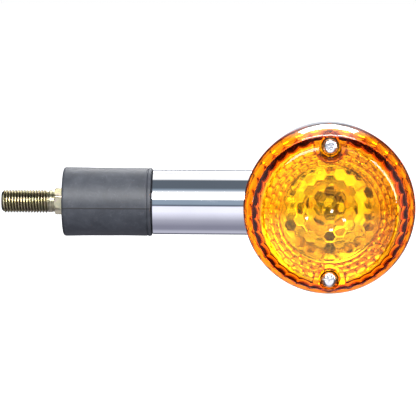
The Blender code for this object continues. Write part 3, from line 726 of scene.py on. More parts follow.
def paint_reflector():
    """Polished dish with a slight orange-peel; its flange is painted dull brown in uneven patches of
    painted shade, heaviest on the right side.
    """
    material, tree, shader = new_material("reflector_aluminium", Metallic=1.0)
    marks = placed(tree, handling_marks, Scale=1.0, Stretch=(1, 1, 1))
    colour = mixed(tree, marks.outputs["Smudges"], (0.93, 0.93, 0.93), (0.86, 0.87, 0.88))
    place = here(tree)
    parts, radius = from_lamp(tree, place)
    flange = between(tree, radius, 17 * MM, 24.5 * MM)
    shaded_right = between(tree, parts.outputs["X"], -20 * MM, 16 * MM, 0.45)
    stains = noise(tree, place, 300.0, 3.0)
    patches = between(tree, stains, 0.38, 0.62, 0.5)
    # Painted shade on the flange: dull brown in uneven patches, heaviest towards the right side.
    dulling_and_shade = calculated(tree, "MULTIPLY", flange, shaded_right)
    dulling_and_shade = calculated(tree, "MULTIPLY", dulling_and_shade, patches)
    colour = mixed(tree, dulling_and_shade, colour, (0.20, 0.13, 0.09))
    finish_with(tree, shader, colour, spread(tree, marks.outputs["Smudges"], 0.08, 0.16))
    peel = noise(tree, place, 260.0, 1.0)
    raised(tree, shader, peel, 0.12, 0.1 * MM)
    return material


reflector_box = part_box("reflector")
flange_edge_r = (reflector_box[1].x - reflector_box[0].x) / 2
flange_y = reflector_box[0].y
dish_bottom = reflector_box[1].y - 0.8 * MM
dish_r = 23.2 * MM
dish_bottom_r = 13.0 * MM
sheet_thick = 0.7 * MM


def dish_side(offset):
    """The dish from the flange's edge to the socket hole, moved back by the sheet's thickness."""
    side = [(flange_y + offset, flange_edge_r), (flange_y + offset, 30.2 * MM),
            (flange_y + 0.25 * MM + offset, 29.9 * MM),
            (flange_y + 0.25 * MM + offset, 24.6 * MM - offset * 0.6)]
    for share in np.linspace(0, 1, 24):
        radius = dish_r - (dish_r - dish_bottom_r) * share**1.25 - offset * (1 - share)
        y = flange_y + 0.9 * MM + (dish_bottom - flange_y - 0.9 * MM) * math.sin(share * math.pi / 2) ** 0.9
        bead = 0.18 * MM * math.sin(share * math.pi * 9) ** 2
        side.append((y - bead + offset, radius))
    side += [(dish_bottom + offset, 12.4 * MM), (dish_bottom + offset, 9.0 * MM)]
    return side


reflector = turned("reflector_finish", dish_side(0.0) + dish_side(sheet_thick)[::-1], about_lamp, steps=160,
                   crease=45)
for z in (screw_z, -screw_z):
    hole = turned("flange_hole", [(flange_y - 3 * MM, 2.4 * MM), (flange_y + 3 * MM, 2.4 * MM)],
                  moved_lamp(0, z),
                  steps=40, closed=False)
    carve(reflector, hole, crease=45)
reflector.data.materials.append(paint_reflector())
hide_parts("reflector")
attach(reflector, "head")


# ---- Bulb socket ----------------------------------------------------------------------------------------
# A drawn brass shell with two J-slots for the bulb's pins, closed at the back by a phenolic plate. A second
# plate carries the contact and is pushed forward by a coil spring. A tinned tab takes the ground lead.

def paint_brass(name, tint, roughness):
    """Brass or tinned brass, slightly tarnished in patches."""
    tarnished = tuple(part * 0.72 for part in tint)
    return paint_bare_metal(name, tint, tarnished, (roughness, roughness * 1.8), 1.1, (1, 0.3, 1), cut=0.15)


def paint_phenolic():
    """Brown paper-laminate board with a fibrous mottle."""
    material, tree, shader = new_material("insulator_board", Specular_IOR_Level=0.4)
    skin_marks = placed(tree, moulded_grain, Scale=2.0)
    colour = ramp(tree, skin_marks.outputs["Clouds"], [(0.35, (0.10, 0.04, 0.018)),
                                                       (0.65, (0.21, 0.095, 0.04))])
    finish_with(tree, shader, colour, spread(tree, skin_marks.outputs["Grain"], 0.4, 0.6))
    raised(tree, shader, skin_marks.outputs["Grain"], 0.2, 0.02 * MM)
    return material


brass = paint_brass("socket_brass", (0.90, 0.73, 0.40), 0.24)
tinned = paint_brass("tinned_brass", (0.72, 0.71, 0.66), 0.26)
board = paint_phenolic()
for node, paint in (("socket_shell", brass), ("ground_tab", tinned), ("socket_back", board),
                    ("contact_disc", board),
                    ("contact_pin", brass)):
    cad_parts[node].data.materials.clear()
    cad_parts[node].data.materials.append(paint)
spring_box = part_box("contact_spring")
wire_r = 0.4 * MM
coil_r = (spring_box[1].x - spring_box[0].x) / 2 - wire_r


def wire_curve(name, points, radius, sides=3):
    """A round wire along a list of points, as a mesh."""
    curve = bpy.data.curves.new(name, "CURVE")
    curve.dimensions = "3D"
    curve.bevel_depth = radius
    curve.bevel_resolution = sides
    curve.use_fill_caps = True
    spline = curve.splines.new("POLY")
    spline.points.add(len(points) - 1)
    for target, point in zip(spline.points, points):
        target.co = (*point, 1)
    guide = bpy.data.objects.new(name + "_guide", curve)
    bpy.context.collection.objects.link(guide)
    mesh = bpy.data.meshes.new_from_object(guide.evaluated_get(bpy.context.evaluated_depsgraph_get()))
    bpy.data.objects.remove(guide)
    mesh.shade_smooth()
    mesh.set_sharp_from_angle(angle=math.radians(50))
    wire = bpy.data.objects.new(name, mesh)
    bpy.context.collection.objects.link(wire)
    return wire


spring_points = []
for share in np.linspace(0, 1, 121):
    y = spring_box[0].y + wire_r + (spring_box[1].y - spring_box[0].y - 2 * wire_r) * share
    spring_points.append(about_lamp(y, coil_r, share * 3 * 2 * math.pi))
spring = wire_curve("contact_spring_finish", spring_points, wire_r)
spring.data.materials.append(spring_paint)
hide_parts("contact_spring")
spring_ends = [(lamp_x, spring_box[side].y, 0) for side in (0, 1)]
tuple(spring_ends[0])
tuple(spring_ends[1])
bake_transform(spring)


# ---- Bulb -----------------------------------------------------------------------------------------------
# A single-filament bayonet bulb: a rolled brass base with two pins, a black glass insulator with a solder
# contact, and a blown envelope. In it a glass mount holds two support wires and a coiled tungsten filament.

bulb_brass = paint_brass("bulb_brass", (0.94, 0.85, 0.62), 0.24)
base_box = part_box("bulb_base")
base_r = base_box[1].z
base_outline = [(base_box[0].y, base_r - 0.5 * MM), (base_box[0].y, base_r)]
for share in np.linspace(0.04, 0.9, 22):
    y = base_box[0].y + share * (base_box[1].y - 1.6 * MM - base_box[0].y)
    rolled_groove = 0.1 < share < 0.16 or 0.8 < share < 0.86
    base_outline.append((y, base_r - 0.15 * MM * rolled_groove))
base_outline += [(base_box[1].y - 1.6 * MM, base_r - 0.1 * MM),
                 (base_box[1].y - 0.7 * MM, base_r - 1.0 * MM),
                 (base_box[1].y, 5.2 * MM), (base_box[1].y, 4.5 * MM),
                 (base_box[1].y - 1.9 * MM, base_r - 0.6 * MM),
                 (base_box[0].y + 0.5 * MM, base_r - 0.5 * MM)]
base = turned("bulb_base_finish", base_outline, about_lamp, steps=96)
pin_y = base_box[0].y + 11.0 * MM
for side in (-1, 1):
    reach = (base_box[1].x - base_box[0].x) / 2

    def about_pin(place, radius, angle, side=side):
        along, across, up = np.broadcast_arrays(place, radius * np.cos(angle), radius * np.sin(angle))
        return np.stack((lamp_x + side * along, pin_y + across, up), axis=-1)

    pin_outline = [(base_r - 0.4 * MM, 1.0 * MM), (reach - 0.3 * MM, 1.0 * MM),
                   (reach - 0.1 * MM, 0.85 * MM),
                   (reach, 0.5 * MM)]
    carve(base, turned("bayonet_pin", pin_outline, about_pin, steps=24, closed=False), "UNION", crease=35)
base.data.materials.append(bulb_brass)
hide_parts("bulb_base")
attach(base, "bulb")


def paint_vitrite():
    """Black vitreous insulator."""
    material, tree, shader = new_material("black_glass", Coat_Weight=0.3)
    marks = placed(tree, handling_marks, Scale=1.0, Stretch=(1, 1, 1))
    colour = mixed(tree, marks.outputs["Smudges"], (0.010, 0.010, 0.014), (0.03, 0.03, 0.04))
    finish_with(tree, shader, colour, spread(tree, marks.outputs["Smudges"], 0.12, 0.3))
    return material


solder = paint_plated_steel("solder", (0.6, 0.6, 0.62))
for node, paint in (("bulb_insulator", paint_vitrite()), ("bulb_contact", solder)):
    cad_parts[node].data.materials.clear()
    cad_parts[node].data.materials.append(paint)


def paint_clear_glass():
    """Thin blown glass with faint drawn waves."""
    material, tree, shader = new_material("clear_glass", Transmission_Weight=1.0, IOR=1.5)
    marks = placed(tree, handling_marks, Scale=0.7, Stretch=(1, 0.2, 1))
    colour = mixed(tree, marks.outputs["Smudges"], (1.0, 1.0, 1.0), (0.97, 0.985, 0.98))
    finish_with(tree, shader, colour, spread(tree, marks.outputs["Specks"], 0.0, 0.04))
    return material


glass_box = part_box("bulb_glass")
bulb_r = (glass_box[1].x - glass_box[0].x) / 2
belly_y = glass_box[0].y + bulb_r
neck_r = 6.6 * MM


def glass_side(wall):
    """The envelope from its neck to its tip."""
    side = [(glass_box[1].y, neck_r - wall), (glass_box[1].y - 3 * MM, neck_r - wall),
            (-3 * MM, neck_r - wall)]
    for share in np.linspace(0.05, 0.95, 16):
        rise = (1 - math.cos(share * math.pi)) / 2
        side.append((-3 * MM + (belly_y + 3 * MM) * share, neck_r + (bulb_r - neck_r) * rise - wall))
    return side + arc(belly_y, 0, bulb_r - wall, 90, 178, 24)


envelope = turned("bulb_glass_finish", glass_side(0.0)[::-1] + glass_side(0.5 * MM), about_lamp, steps=128,
                  closed=False, crease=60)
clear_glass = paint_clear_glass()
envelope.data.materials.append(clear_glass)
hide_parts("bulb_glass")
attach(envelope, "bulb")
mount_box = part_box("bulb_mount")
mount_outline = []
for share in np.linspace(0, 1, 18):
    y = mount_box[1].y + (mount_box[0].y - mount_box[1].y) * share
    mount_outline.append((y, 5.2 * MM - 3.0 * MM * math.sin(min(1.0, share * 1.5) * math.pi / 2)))
mount_outline += [(mount_box[0].y, 1.2 * MM)]
mount = turned("bulb_mount_finish", mount_outline, about_lamp, steps=48, closed=False, crease=60)
mount.data.materials.append(clear_glass)
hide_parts("bulb_mount")
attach(mount, "bulb")


def paint_wire(name, tint, roughness):
    """Drawn wire, with die lines along it."""
    dulling_and_shade = tuple(part * 0.7 for part in tint)
    return paint_bare_metal(name, tint, dulling_and_shade, (roughness, roughness * 1.6), 3.0, (1, 0.1, 1))


nickel = paint_wire("support_wire", (0.62, 0.60, 0.56), 0.25)
filament_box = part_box("filament")
filament_y = (filament_box[0].y + filament_box[1].y) / 2
for side, sign in (("left", -1), ("right", 1)):
    post_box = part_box("filament_post_" + side)
    foot = Vector((lamp_x + sign * 1.4 * MM, post_box[1].y + 1.2 * MM, 0))
    tip = Vector((lamp_x + sign * 3.35 * MM, filament_y - 0.2 * MM, 0))
    bow = [foot.lerp(tip, share) + Vector((sign * 0.5 * MM * math.sin(math.pi * share), 0, 0))
           for share in np.linspace(0, 1, 20)]
    hook = [tip + Vector((-sign * 0.35 * MM * math.sin(turn), -0.3 * MM * (1 - math.cos(turn)), 0))
            for turn in np.linspace(0.2, math.pi, 8)]
    support = wire_curve("filament_post_" + side + "_finish", bow + hook, 0.28 * MM)
    support.data.materials.append(nickel)
    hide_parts("filament_post_" + side)
    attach(support, "bulb")
filament_points = []
for share in np.linspace(0, 1, 481):
    x = lamp_x + (share - 0.5) * 5.6 * MM
    sag = 0.5 * MM * math.sin(math.pi * share)
    turn = share * 26 * 2 * math.pi
    filament_points.append((x, filament_y - sag + 0.32 * MM * math.cos(turn), 0.32 * MM * math.sin(turn)))
filament = wire_curve("filament_finish", filament_points, 0.055 * MM, 1)
filament.data.materials.append(paint_wire("tungsten", (0.38, 0.38, 0.40), 0.3))
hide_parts("filament")
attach(filament, "bulb")


# ---- Amber lens -----------------------------------------------------------------------------------------
# A moulded acrylic cup, polished outside. Its inside spreads the light: honeycomb pillows in the middle,
# rings of windows round them, and two rows of flutes down the wall. Two bosses carry the screw wells.

lens_rear = lens_box[1].y
lens_apex = lens_box[0].y
lens_r = (lens_box[1].x - lens_box[0].x) / 2
lens_middle = Vector((lamp_x, -0.03, 0))
lens_thick = 2.3 * MM
edge_r = 28.7 * MM
edge_y = lens_apex + 2.15 * MM
dome_r = (edge_r**2 + (edge_y - lens_apex) ** 2) / (2 * (edge_y - lens_apex))


def face_y(radius):
    """Where the domed face stands at a radius about the lamp's axis."""
    return lens_apex + dome_r - math.sqrt(dome_r**2 - radius**2)


def lens_outside():
    """The polished outer outline from the back rim to the middle of the face."""
    side = [(lens_rear, lens_r - 0.5 * MM), (lens_rear - 0.25 * MM, lens_r - 0.15 * MM)]
    side += arc(lens_rear - 0.9 * MM, lens_r - 0.6 * MM, 0.6 * MM, 60, 100, 4)
    top = (edge_y + 4.4 * MM, 32.15 * MM)
    for share in np.linspace(0.06, 1, 18):
        bulge = 0.35 * MM * math.sin(math.pi * share)
        y = lens_rear - 1.2 * MM + (top[0] - lens_rear + 1.2 * MM) * share
        side.append((y, lens_r - 0.05 * MM + (top[1] - lens_r + 0.05 * MM) * share + bulge))
    side += arc(edge_y + 4.1 * MM, 29.95 * MM, 2.35 * MM, 104, 147, 9)
    side += arc(edge_y + 4.64 * MM, edge_r - 2.72 * MM, 5.0 * MM, 147, 172, 12)
    for radius in np.linspace(edge_r - 2.2 * MM, 0.4 * MM, 40):
        side.append((face_y(radius), radius))
    return side


def pillow(place):
    """A round-backed cell, 1 in its middle and 0 at its edges, for places counted in cells."""
    inside = (place + 0.5) % 1.0 - 0.5
    return 1 - (2 * inside) ** 2


def honeycomb(across, up, cell):
    """Height of close-packed six-sided pillows at a place on the face."""
    row = cell * math.sqrt(3) / 2
    best = np.full(across.shape, 1e9)
    for shift in (0.0, 0.5):
        column = np.round(across / (2 * row) - shift) + shift
        for step in (-1.0, 0.0, 1.0):
            middle = column + step
            level = np.round(up / cell - shift) + shift
            distance = (across - middle * 2 * row) ** 2 + (up - level * cell) ** 2
            best = np.minimum(best, distance)
    return 1 - best / (cell**2 / 3)


honey_cell = 4.65 * MM
honey_r = 19.4 * MM
ring_edges = (honey_r, 20.6 * MM, 22.8 * MM, 25.0 * MM, 27.2 * MM)
flute_deg = 10.0
flutes_per_radian = math.degrees(1) / flute_deg


def face_relief(radius, angles):
    """How far the moulded pattern stands inwards from the face's inner side."""
    cells = np.degrees(angles) / flute_deg
    if radius < ring_edges[0]:
        height = honeycomb(radius * np.cos(angles), radius * np.sin(angles), honey_cell) * 0.28 * MM
        mark = np.hypot(radius * np.cos(angles) + 15.2 * MM, radius * np.sin(angles) - 13.2 * MM)
        plain_ring = 0.25 * MM + 0.3 * MM * np.exp(-((mark - 2.7 * MM) / (0.3 * MM)) ** 2)
        return np.where(mark < 3.2 * MM, plain_ring, height)
    if radius < ring_edges[1]:
        return np.full(angles.shape, 0.10 * MM)
    windows = ((0.35 * MM, 0.6 * MM, 0.0), (0.45 * MM, 0.75 * MM, 0.5), (0.35 * MM, 0.75 * MM, 0.0))
    for start, end, (hoop, bar, shift) in zip(ring_edges[1:], ring_edges[2:], windows):
        if radius < end:
            share = (radius - start) / (end - start) - 0.5
            return 0.10 * MM + hoop * pillow(share) + bar * pillow(cells + shift)
    return np.zeros_like(angles)


def lens_inside():
    """The solid that hollows the lens: rings from behind its back rim to the middle of its face."""
    angles = np.radians(np.arange(360.0))
    flutes = pillow(np.degrees(angles) / flute_deg)
    rear = (lens_rear, lens_r - 3.3 * MM)
    front = (lens_apex + 5.0 * MM, 29.2 * MM)
    rings = [about_lamp(lens_rear + 4 * MM, rear[1], angles), about_lamp(lens_rear, rear[1], angles)]
    ledge = 0.39
    for share in np.concatenate((np.linspace(0.02, ledge - 0.01, 18), np.linspace(ledge + 0.01, 1, 26))):
        y = rear[0] + (front[0] - rear[0]) * share
        radius = rear[1] + (front[1] - rear[1]) * share
        if share < ledge:
            relief = 0.45 * MM * flutes * min(1.0, share * 12) + 0.20 * MM * pillow(share / ledge - 0.5)
        else:
            row = (share - ledge) / (1 - ledge) - 0.5
            relief = 0.30 * MM + 0.45 * MM * flutes + 0.35 * MM * pillow(row)
        rings.append(about_lamp(y, radius - relief, angles))
    for turn in np.radians(np.linspace(95, 170, 7)):
        y = front[0] + 1.0 * MM * math.cos(turn)
        rings.append(about_lamp(y, front[1] - 1.30 * MM + 1.0 * MM * math.sin(turn) - 0.25 * MM * flutes,
                                angles))
    for radius in np.concatenate((np.linspace(27.4 * MM, 19.45 * MM, 56),
                                  np.linspace(19.35 * MM, 0.3 * MM, 84))):
        y = face_y(radius) + lens_thick
        rings.append(about_lamp(y + face_relief(radius, angles), radius, angles))
    return rings


def build_amber_lens():
    """The cup, hollowed by the solid of its inside, less the bosses, and bored with its two screw wells."""
    lens = turned("lens_finish", lens_outside(), about_lamp, steps=256, closed=False)
    hollow = skin("lens_hollow", lens_inside(), closed=False)
    boss_r = 6.8 * MM
    core_r = 3.7 * MM
    shank_hole_r = 2.3 * MM
    for z in (screw_z, -screw_z):
        boss = [(lens_rear - 0.3 * MM, core_r), (lens_apex + 9.3 * MM, core_r),
                (lens_apex + 9.3 * MM, boss_r - 0.5 * MM), (lens_apex + 8.9 * MM, boss_r),
                (lens_apex - 5 * MM, boss_r)]
        carve(hollow, turned("lens_boss", boss, moved_lamp(0, z), steps=64, closed=False))
    carve(lens, hollow)
    floor_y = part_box("screw_seal_upper")[1].y + 0.02 * MM
    for z in (screw_z, -screw_z):
        mouth = face_y(screw_z)
        well = [(lens_apex - 6 * MM, 6.4 * MM), (mouth - 1.0 * MM, 5.6 * MM),
                (mouth + 0.25 * MM, 4.45 * MM),
                (mouth + 0.5 * MM, 4.25 * MM), (floor_y - 0.4 * MM, 4.1 * MM), (floor_y, 3.8 * MM),
                (floor_y, shank_hole_r),
                (lens_rear + 3 * MM, shank_hole_r)]
        carve(lens, turned("screw_well", well, moved_lamp(0, z), steps=64, closed=False))
    return lens


def painted_lens_shade(tree):
    """Masks of painted shade in the amber: round the wall, in patches towards the right side, and along the
    edges of the windows and flutes.
    """
    place = here(tree)
    parts, radius = from_lamp(tree, place)
    turn = calculated(tree, "ARCTAN2", parts.outputs["Z"], parts.outputs["X"])
    # Painted shade round the wall, and in uneven patches towards the right side.
    wall = between(tree, radius, 27.5 * MM, 30.5 * MM)
    shaded_right = between(tree, parts.outputs["X"], -16 * MM, 14 * MM)
    rim = between(tree, radius, 13 * MM, 25 * MM, 0.12)
    side = calculated(tree, "MULTIPLY", shaded_right, rim)
    mottle = noise(tree, place, 420.0, 2.0)
    patches = between(tree, mottle, 0.35, 0.65, 0.45)
    uneven = calculated(tree, "MULTIPLY", side, patches)
    deep = calculated(tree, "MAXIMUM", uneven, wall)
    # Painted shade along the edges of the windows and of the wall's flutes.
    row = between(tree, radius, ring_edges[1], ring_edges[4], 0.0, 3.0, clamp=False)
    level = calculated(tree, "FLOOR", row)
    shift = calculated(tree, "MULTIPLY", level, 0.5)
    cells = calculated(tree, "MULTIPLY_ADD", turn, flutes_per_radian, shift)
    across = calculated(tree, "PINGPONG", cells, 0.5)
    bars = between(tree, across, 0.37, 0.45)
    along = calculated(tree, "PINGPONG", row, 0.5)
    hoops = between(tree, along, 0.16, 0.06)
    edge_shade = calculated(tree, "MAXIMUM", bars, hoops)
    outside = between(tree, radius, ring_edges[1] - 0.2 * MM, ring_edges[1])
    within = between(tree, radius, ring_edges[4] + 0.2 * MM, ring_edges[4])
    deeper = between(tree, parts.outputs["Y"], lens_apex + 2.9 * MM, lens_apex + 3.2 * MM)
    for mask in (outside, within, deeper):
        edge_shade = calculated(tree, "MULTIPLY", edge_shade, mask)
    flutes = calculated(tree, "MULTIPLY", turn, flutes_per_radian)
    apart = calculated(tree, "PINGPONG", flutes, 0.5)
    ribs = between(tree, apart, 0.34, 0.46)
    halfway = between(tree, parts.outputs["Y"], lens_apex + 6.6 * MM, lens_rear, 31.0 * MM, 34.3 * MM)
    inner = calculated(tree, "LESS_THAN", radius, halfway)
    behind = between(tree, parts.outputs["Y"], lens_apex + 6.4 * MM, lens_apex + 6.8 * MM)
    for mask in (inner, behind):
        ribs = calculated(tree, "MULTIPLY", ribs, mask)
    edge_shade = calculated(tree, "MAXIMUM", edge_shade, ribs)
    return deep, edge_shade


def paint_amber():
    """Clear amber acrylic: colour from its thickness and tint, painted shade round the wall, on the right
    and along the windows' edges, and fine wiping marks.
    """
    material, tree, shader = new_material("amber_plastic", Transmission_Weight=1.0, IOR=1.49)
    marks = placed(tree, handling_marks, Scale=0.6, Stretch=(1, 1, 1))
    colour = mixed(tree, marks.outputs["Smudges"], (1.0, 0.885, 0.46), (1.0, 0.86, 0.42))
    deep, edge_shade = painted_lens_shade(tree)
    # Painted shade: deeper amber round the wall and on the right, dark orange along the windows' edges.
    colour = mixed(tree, deep, colour, (0.85, 0.54, 0.42))
    colour = mixed(tree, edge_shade, colour, (0.45, 0.17, 0.04))
    finish_with(tree, shader, colour, spread(tree, marks.outputs["Specks"], 0.0, 0.05))
    body = add(tree, "ShaderNodeVolumeAbsorption", {"Color": (0.997, 0.889, 0.0, 1), "Density": 760.0})
    tree.links.new(body.outputs[0], tree.nodes["Material Output"].inputs["Volume"])
    return material


lens = build_amber_lens()
lens.data.materials.append(paint_amber())
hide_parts("lens")
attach(lens, "lens")


# ---- Lens screws ----------------------------------------------------------------------------------------
# Two long cross-recess pan-head screws, bright plated, each on a thin rubber ring that keeps water out.

def wing_block(name, y, z, turn_deg):
    """One tapered wing of the cross recess."""
    work = bmesh.new()
    bmesh.ops.create_cube(work, size=1.0)
    for vertex in work.verts:
        deep = vertex.co.y > 0
        vertex.co.x *= 1.9 * MM if deep else 4.0 * MM
        vertex.co.z *= 0.6 * MM if deep else 0.95 * MM
        vertex.co.y *= 3.2 * MM
    bmesh.ops.rotate(work, matrix=Matrix.Rotation(math.radians(turn_deg), 3, "Y"), verts=work.verts)
    bmesh.ops.translate(work, vec=(lamp_x, y, z), verts=work.verts)
    mesh = bpy.data.meshes.new(name)
    work.to_mesh(mesh)
    work.free()
    wing = bpy.data.objects.new(name, mesh)
    bpy.context.collection.objects.link(wing)
    return wing


screw_chrome = paint_chrome("screw_chrome", (0.95, 0.95, 0.96), 0.24, 0.1)
for side, z, turn_deg in (("upper", screw_z, 28), ("lower", -screw_z, 50)):
    screw_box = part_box("lens_screw_" + side)
    head_y = screw_box[0].y
    seat_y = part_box("screw_seal_" + side)[0].y - 0.02 * MM
    head_r = (screw_box[1].x - screw_box[0].x) / 2
    around = moved_lamp(0, z)
    steps = 64
    angles = np.linspace(0, 2 * math.pi, steps, endpoint=False)
    head = [(head_y, 0.4 * MM), (head_y, 1.4 * MM)]
    head += [(head_y + 1.15 * MM * (1 - math.cos(t)), 1.6 * MM + (head_r - 1.6 * MM) * math.sin(t))
             for t in np.linspace(0.15, math.pi / 2, 9)]
    head += [(seat_y - 0.1 * MM, head_r), (seat_y, head_r - 0.1 * MM), (seat_y, 2.05 * MM),
             (seat_y + 0.2 * MM, 1.95 * MM)]
    rings = [around(y, radius, angles) for y, radius in head]
    rings += coil_thread(seat_y + 11 * MM, screw_box[1].y - 0.6 * MM, 1.98 * MM, 1.6 * MM, 0.7 * MM, around,
                         8, steps)
    rings += [around(screw_box[1].y - 0.4 * MM, 1.5 * MM, angles), around(screw_box[1].y, 1.1 * MM, angles)]
    screw = skin("lens_screw_" + side + "_finish", rings, closed=False)
    for half in (0, 90):
        carve(screw, wing_block("recess_wing", head_y, z, turn_deg + half))
    screw.data.materials.append(screw_chrome)
    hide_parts("lens_screw_" + side)
    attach(screw, "screw_" + side)
    seal_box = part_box("screw_seal_" + side)
    seal_outline = [(seal_box[0].y, 2.25 * MM), (seal_box[0].y, 3.5 * MM),
                    (seal_box[0].y + 0.2 * MM, 3.68 * MM),
                    (seal_box[1].y - 0.2 * MM, 3.68 * MM), (seal_box[1].y, 3.5 * MM),
                    (seal_box[1].y, 2.25 * MM)]
    seal = turned("screw_seal_" + side + "_finish", seal_outline, around, steps=64, crease=50)
    seal.data.materials.append(seal_paint)
    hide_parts("screw_seal_" + side)
    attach(seal, "lens")


# ---- Studio ---------------------------------------------------------------------------------------------
# A pale floor, large soft lights and a camera a little above the lamp, looking at its lens.

def add_floor():
    """A wide pale floor well below the lamp."""
    work = bmesh.new()
    bmesh.ops.create_circle(work, cap_ends=True, segments=96, radius=6.0)
    mesh = bpy.data.meshes.new("floor")
    work.to_mesh(mesh)
    work.free()
    floor = bpy.data.objects.new("floor", mesh)
    floor.location = (lamp_x / 2, 0, -0.16)
    bpy.context.collection.objects.link(floor)
    material, tree, shader = new_material("floor_paint", Specular_IOR_Level=0.1, Roughness=0.9,
                                          Emission_Strength=0.9)
    place = here(tree)
    cloud = noise(tree, place, 3.0, 3.0)
    colour = mixed(tree, cloud, (0.93, 0.93, 0.93), (0.96, 0.96, 0.96))
    tree.links.new(colour, shader.inputs["Base Color"])
    mesh.materials.append(material)
    floor.visible_glossy = False
    floor.visible_transmission = False
    floor.visible_diffuse = False


def add_soft_light(name, place, size, power, along=(1, 0, 0), mirrored=True):
    """A soft box that faces the lamp, placed from the lens's middle; its width runs along a line."""
    light = bpy.data.lights.new(name, "AREA")
    light.shape = "RECTANGLE"
    light.size = size[0]
    light.size_y = size[1]
    light.energy = power
    box = bpy.data.objects.new(name, light)
    away = Vector(place).normalized()
    across = (Vector(along) - Vector(along).project(away)).normalized()
    turn = Matrix((across, away.cross(across), away)).transposed().to_4x4()
    box.matrix_world = Matrix.Translation(lens_middle + Vector(place)) @ turn
    box.visible_camera = False
    box.visible_glossy = mirrored
    bpy.context.collection.objects.link(box)


def mirrored_at(across, up, reach):
    """A place for a light, from the lens's middle, that the camera sees mirrored at a spot on its face."""
    spot = Vector((lamp_x + across, lens_apex, up))
    facing = Vector((across / dome_r, -1, up / dome_r)).normalized()
    view = (bpy.context.scene.camera.location - spot).normalized()
    return spot + (2 * facing.dot(view) * facing - view) * reach - lens_middle


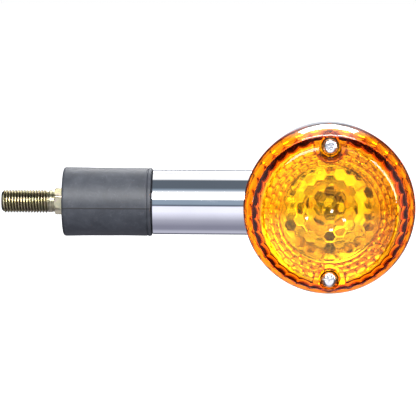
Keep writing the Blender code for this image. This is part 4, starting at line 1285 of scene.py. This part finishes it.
def build_world():
    """The white studio all round, as the polished parts mirror it: bright boards with dark gaps between."""
    world = bpy.data.worlds.new("studio")
    bpy.context.scene.world = world
    world.use_nodes = True
    tree = world.node_tree
    tree.nodes.clear()
    direction = add(tree, "ShaderNodeTexCoord").outputs["Generated"]
    parts = add(tree, "ShaderNodeSeparateXYZ", {"Vector": direction})
    forward = calculated(tree, "MULTIPLY", parts.outputs["Y"], -1.0)
    turn = calculated(tree, "ARCTAN2", parts.outputs["Z"], forward)
    share = between(tree, turn, -math.pi, math.pi)
    white = (1.0, 1.0, 1.0)
    slate = (0.10, 0.12, 0.145)
    dusk = (0.25, 0.31, 0.38)
    lavender = (0.84, 0.84, 0.95)
    grey = (0.22, 0.22, 0.28)
    pale = (0.42, 0.42, 0.50)
    night = (0.06, 0.06, 0.08)
    stops = [
        (-180, night), (-146, night), (-136, pale), (-122, pale), (-106, grey), (-88, grey),
        (-62, (0.36, 0.36, 0.43)), (-36, (0.72, 0.72, 0.82)), (-28, lavender), (-10, lavender),
        (-6, (0.05, 0.06, 0.09)), (0, dusk), (13, dusk), (17, white), (42, white), (50, dusk), (58, slate),
        (90, slate), (97, white), (128, white), (131, (0.6, 0.6, 0.62)), (134, white), (150, white),
        (158, grey), (179, grey),
    ]
    colour = ramp(tree, share, [((degrees + 180) / 360, tone) for degrees, tone in stops])
    sideways = calculated(tree, "ABSOLUTE", parts.outputs["X"])
    beside = between(tree, sideways, 0.22, 0.34)
    colour = mixed(tree, beside, colour, (0.03, 0.03, 0.035))
    far_side = between(tree, sideways, 0.74, 0.88)
    straight_back = between(tree, parts.outputs["Y"], 0.93, 0.965)
    away = calculated(tree, "MAXIMUM", far_side, straight_back)
    colour = mixed(tree, away, colour, (0.5, 0.52, 0.56))
    mirrored = add(tree, "ShaderNodeBackground", {"Color": colour, "Strength": 1.35})
    soft = add(tree, "ShaderNodeBackground", {"Color": (0.92, 0.95, 1.0, 1), "Strength": 0.35})
    seen = add(tree, "ShaderNodeBackground", {"Color": (1, 1, 1, 1), "Strength": 1.0})
    across = between(tree, parts.outputs["X"], -1.0, 1.0)
    gap = (0.1, 0.1, 0.1)
    tan = (0.5, 0.42, 0.36)
    peach = (0.8, 0.5, 0.35)
    boards = ramp(tree, across, [(0.0, gap), (0.1, (0.9, 0.9, 0.9)), (0.35, white), (0.42, tan),
                                 (0.55, tan),
                                 (0.62, peach), (0.85, peach), (1.0, gap)])
    upward = between(tree, parts.outputs["Z"], -1.0, 1.0)
    black = (0, 0, 0)
    above = (0.8, 0.8, 0.8)
    floor_and_top = ramp(tree, upward, [(0.0, white), (0.36, white), (0.42, black), (0.62, black),
                                        (0.70, above),
                                        (1.0, above)])
    glow = mixed(tree, floor_and_top, boards, white)
    through = add(tree, "ShaderNodeBackground", {"Color": glow, "Strength": 2.7})
    path = add(tree, "ShaderNodeLightPath")
    passed = calculated(tree, "GREATER_THAN", path.outputs["Transmission Depth"], 0.5)
    lit = add(tree, "ShaderNodeMixShader", {0: path.outputs["Is Diffuse Ray"], 1: mirrored.outputs[0],
                                            2: soft.outputs[0]})
    glowing = add(tree, "ShaderNodeMixShader", {0: passed, 1: lit.outputs[0], 2: through.outputs[0]})
    shown = add(tree, "ShaderNodeMixShader", {0: path.outputs["Is Camera Ray"], 1: glowing.outputs[0],
                                              2: seen.outputs[0]})
    output = add(tree, "ShaderNodeOutputWorld")
    tree.links.new(shown.outputs[0], output.inputs["Surface"])


def add_camera():
    """A long lens seven degrees above the lamp, framed from the stud's tip to the lens's right edge."""
    camera = bpy.data.objects.new("camera", bpy.data.cameras.new("camera"))
    distance = 1.0
    azimuth = math.radians(2.0)
    elevation = math.radians(7.3)
    target = Vector((65.55 * MM, 0, -2.5 * MM))
    reach = distance * math.cos(elevation)
    camera.location = target + Vector((reach * math.sin(azimuth), -reach * math.cos(azimuth),
                                       distance * math.sin(elevation)))
    facing = (target - camera.location).to_track_quat("-Z", "Y")
    roll = Matrix.Rotation(math.radians(0.1), 4, "Z")
    camera.matrix_world = Matrix.Translation(camera.location) @ facing.to_matrix().to_4x4() @ roll
    camera.data.lens = 202.4
    camera.data.sensor_width = 36
    camera.data.clip_start = 0.01
    bpy.context.collection.objects.link(camera)
    bpy.context.scene.camera = camera


add_floor()
build_world()
add_soft_light("key_light", (-0.16, -0.78, 0.45), (0.47, 0.36), 6.0)
add_soft_light("top_light", (-0.06, -0.1, 0.8), (0.6, 0.4), 6.0, mirrored=False)
add_soft_light("back_light", (0.0, 0.56, 0.42), (0.36, 0.11), 1.6)
add_soft_light("side_light", (0.50, -0.55, 0.22), (0.43, 0.24), 5.0, along=(0.231, 0.04, -0.364))
add_camera()
spark_reach = 0.25
spark_size = (0.0045, 0.004)
spark_power = 0.0024
sparks = ((0.8 * MM, 1.5 * MM), (-9.5 * MM, -1.5 * MM), (5.9 * MM, -2.1 * MM), (0.5 * MM, -6.2 * MM))
for index, spot in enumerate(sparks):
    add_soft_light(f"spark_light_{index}", mirrored_at(*spot, spark_reach), spark_size, spark_power)
bpy.context.scene.view_settings.view_transform = "Standard"
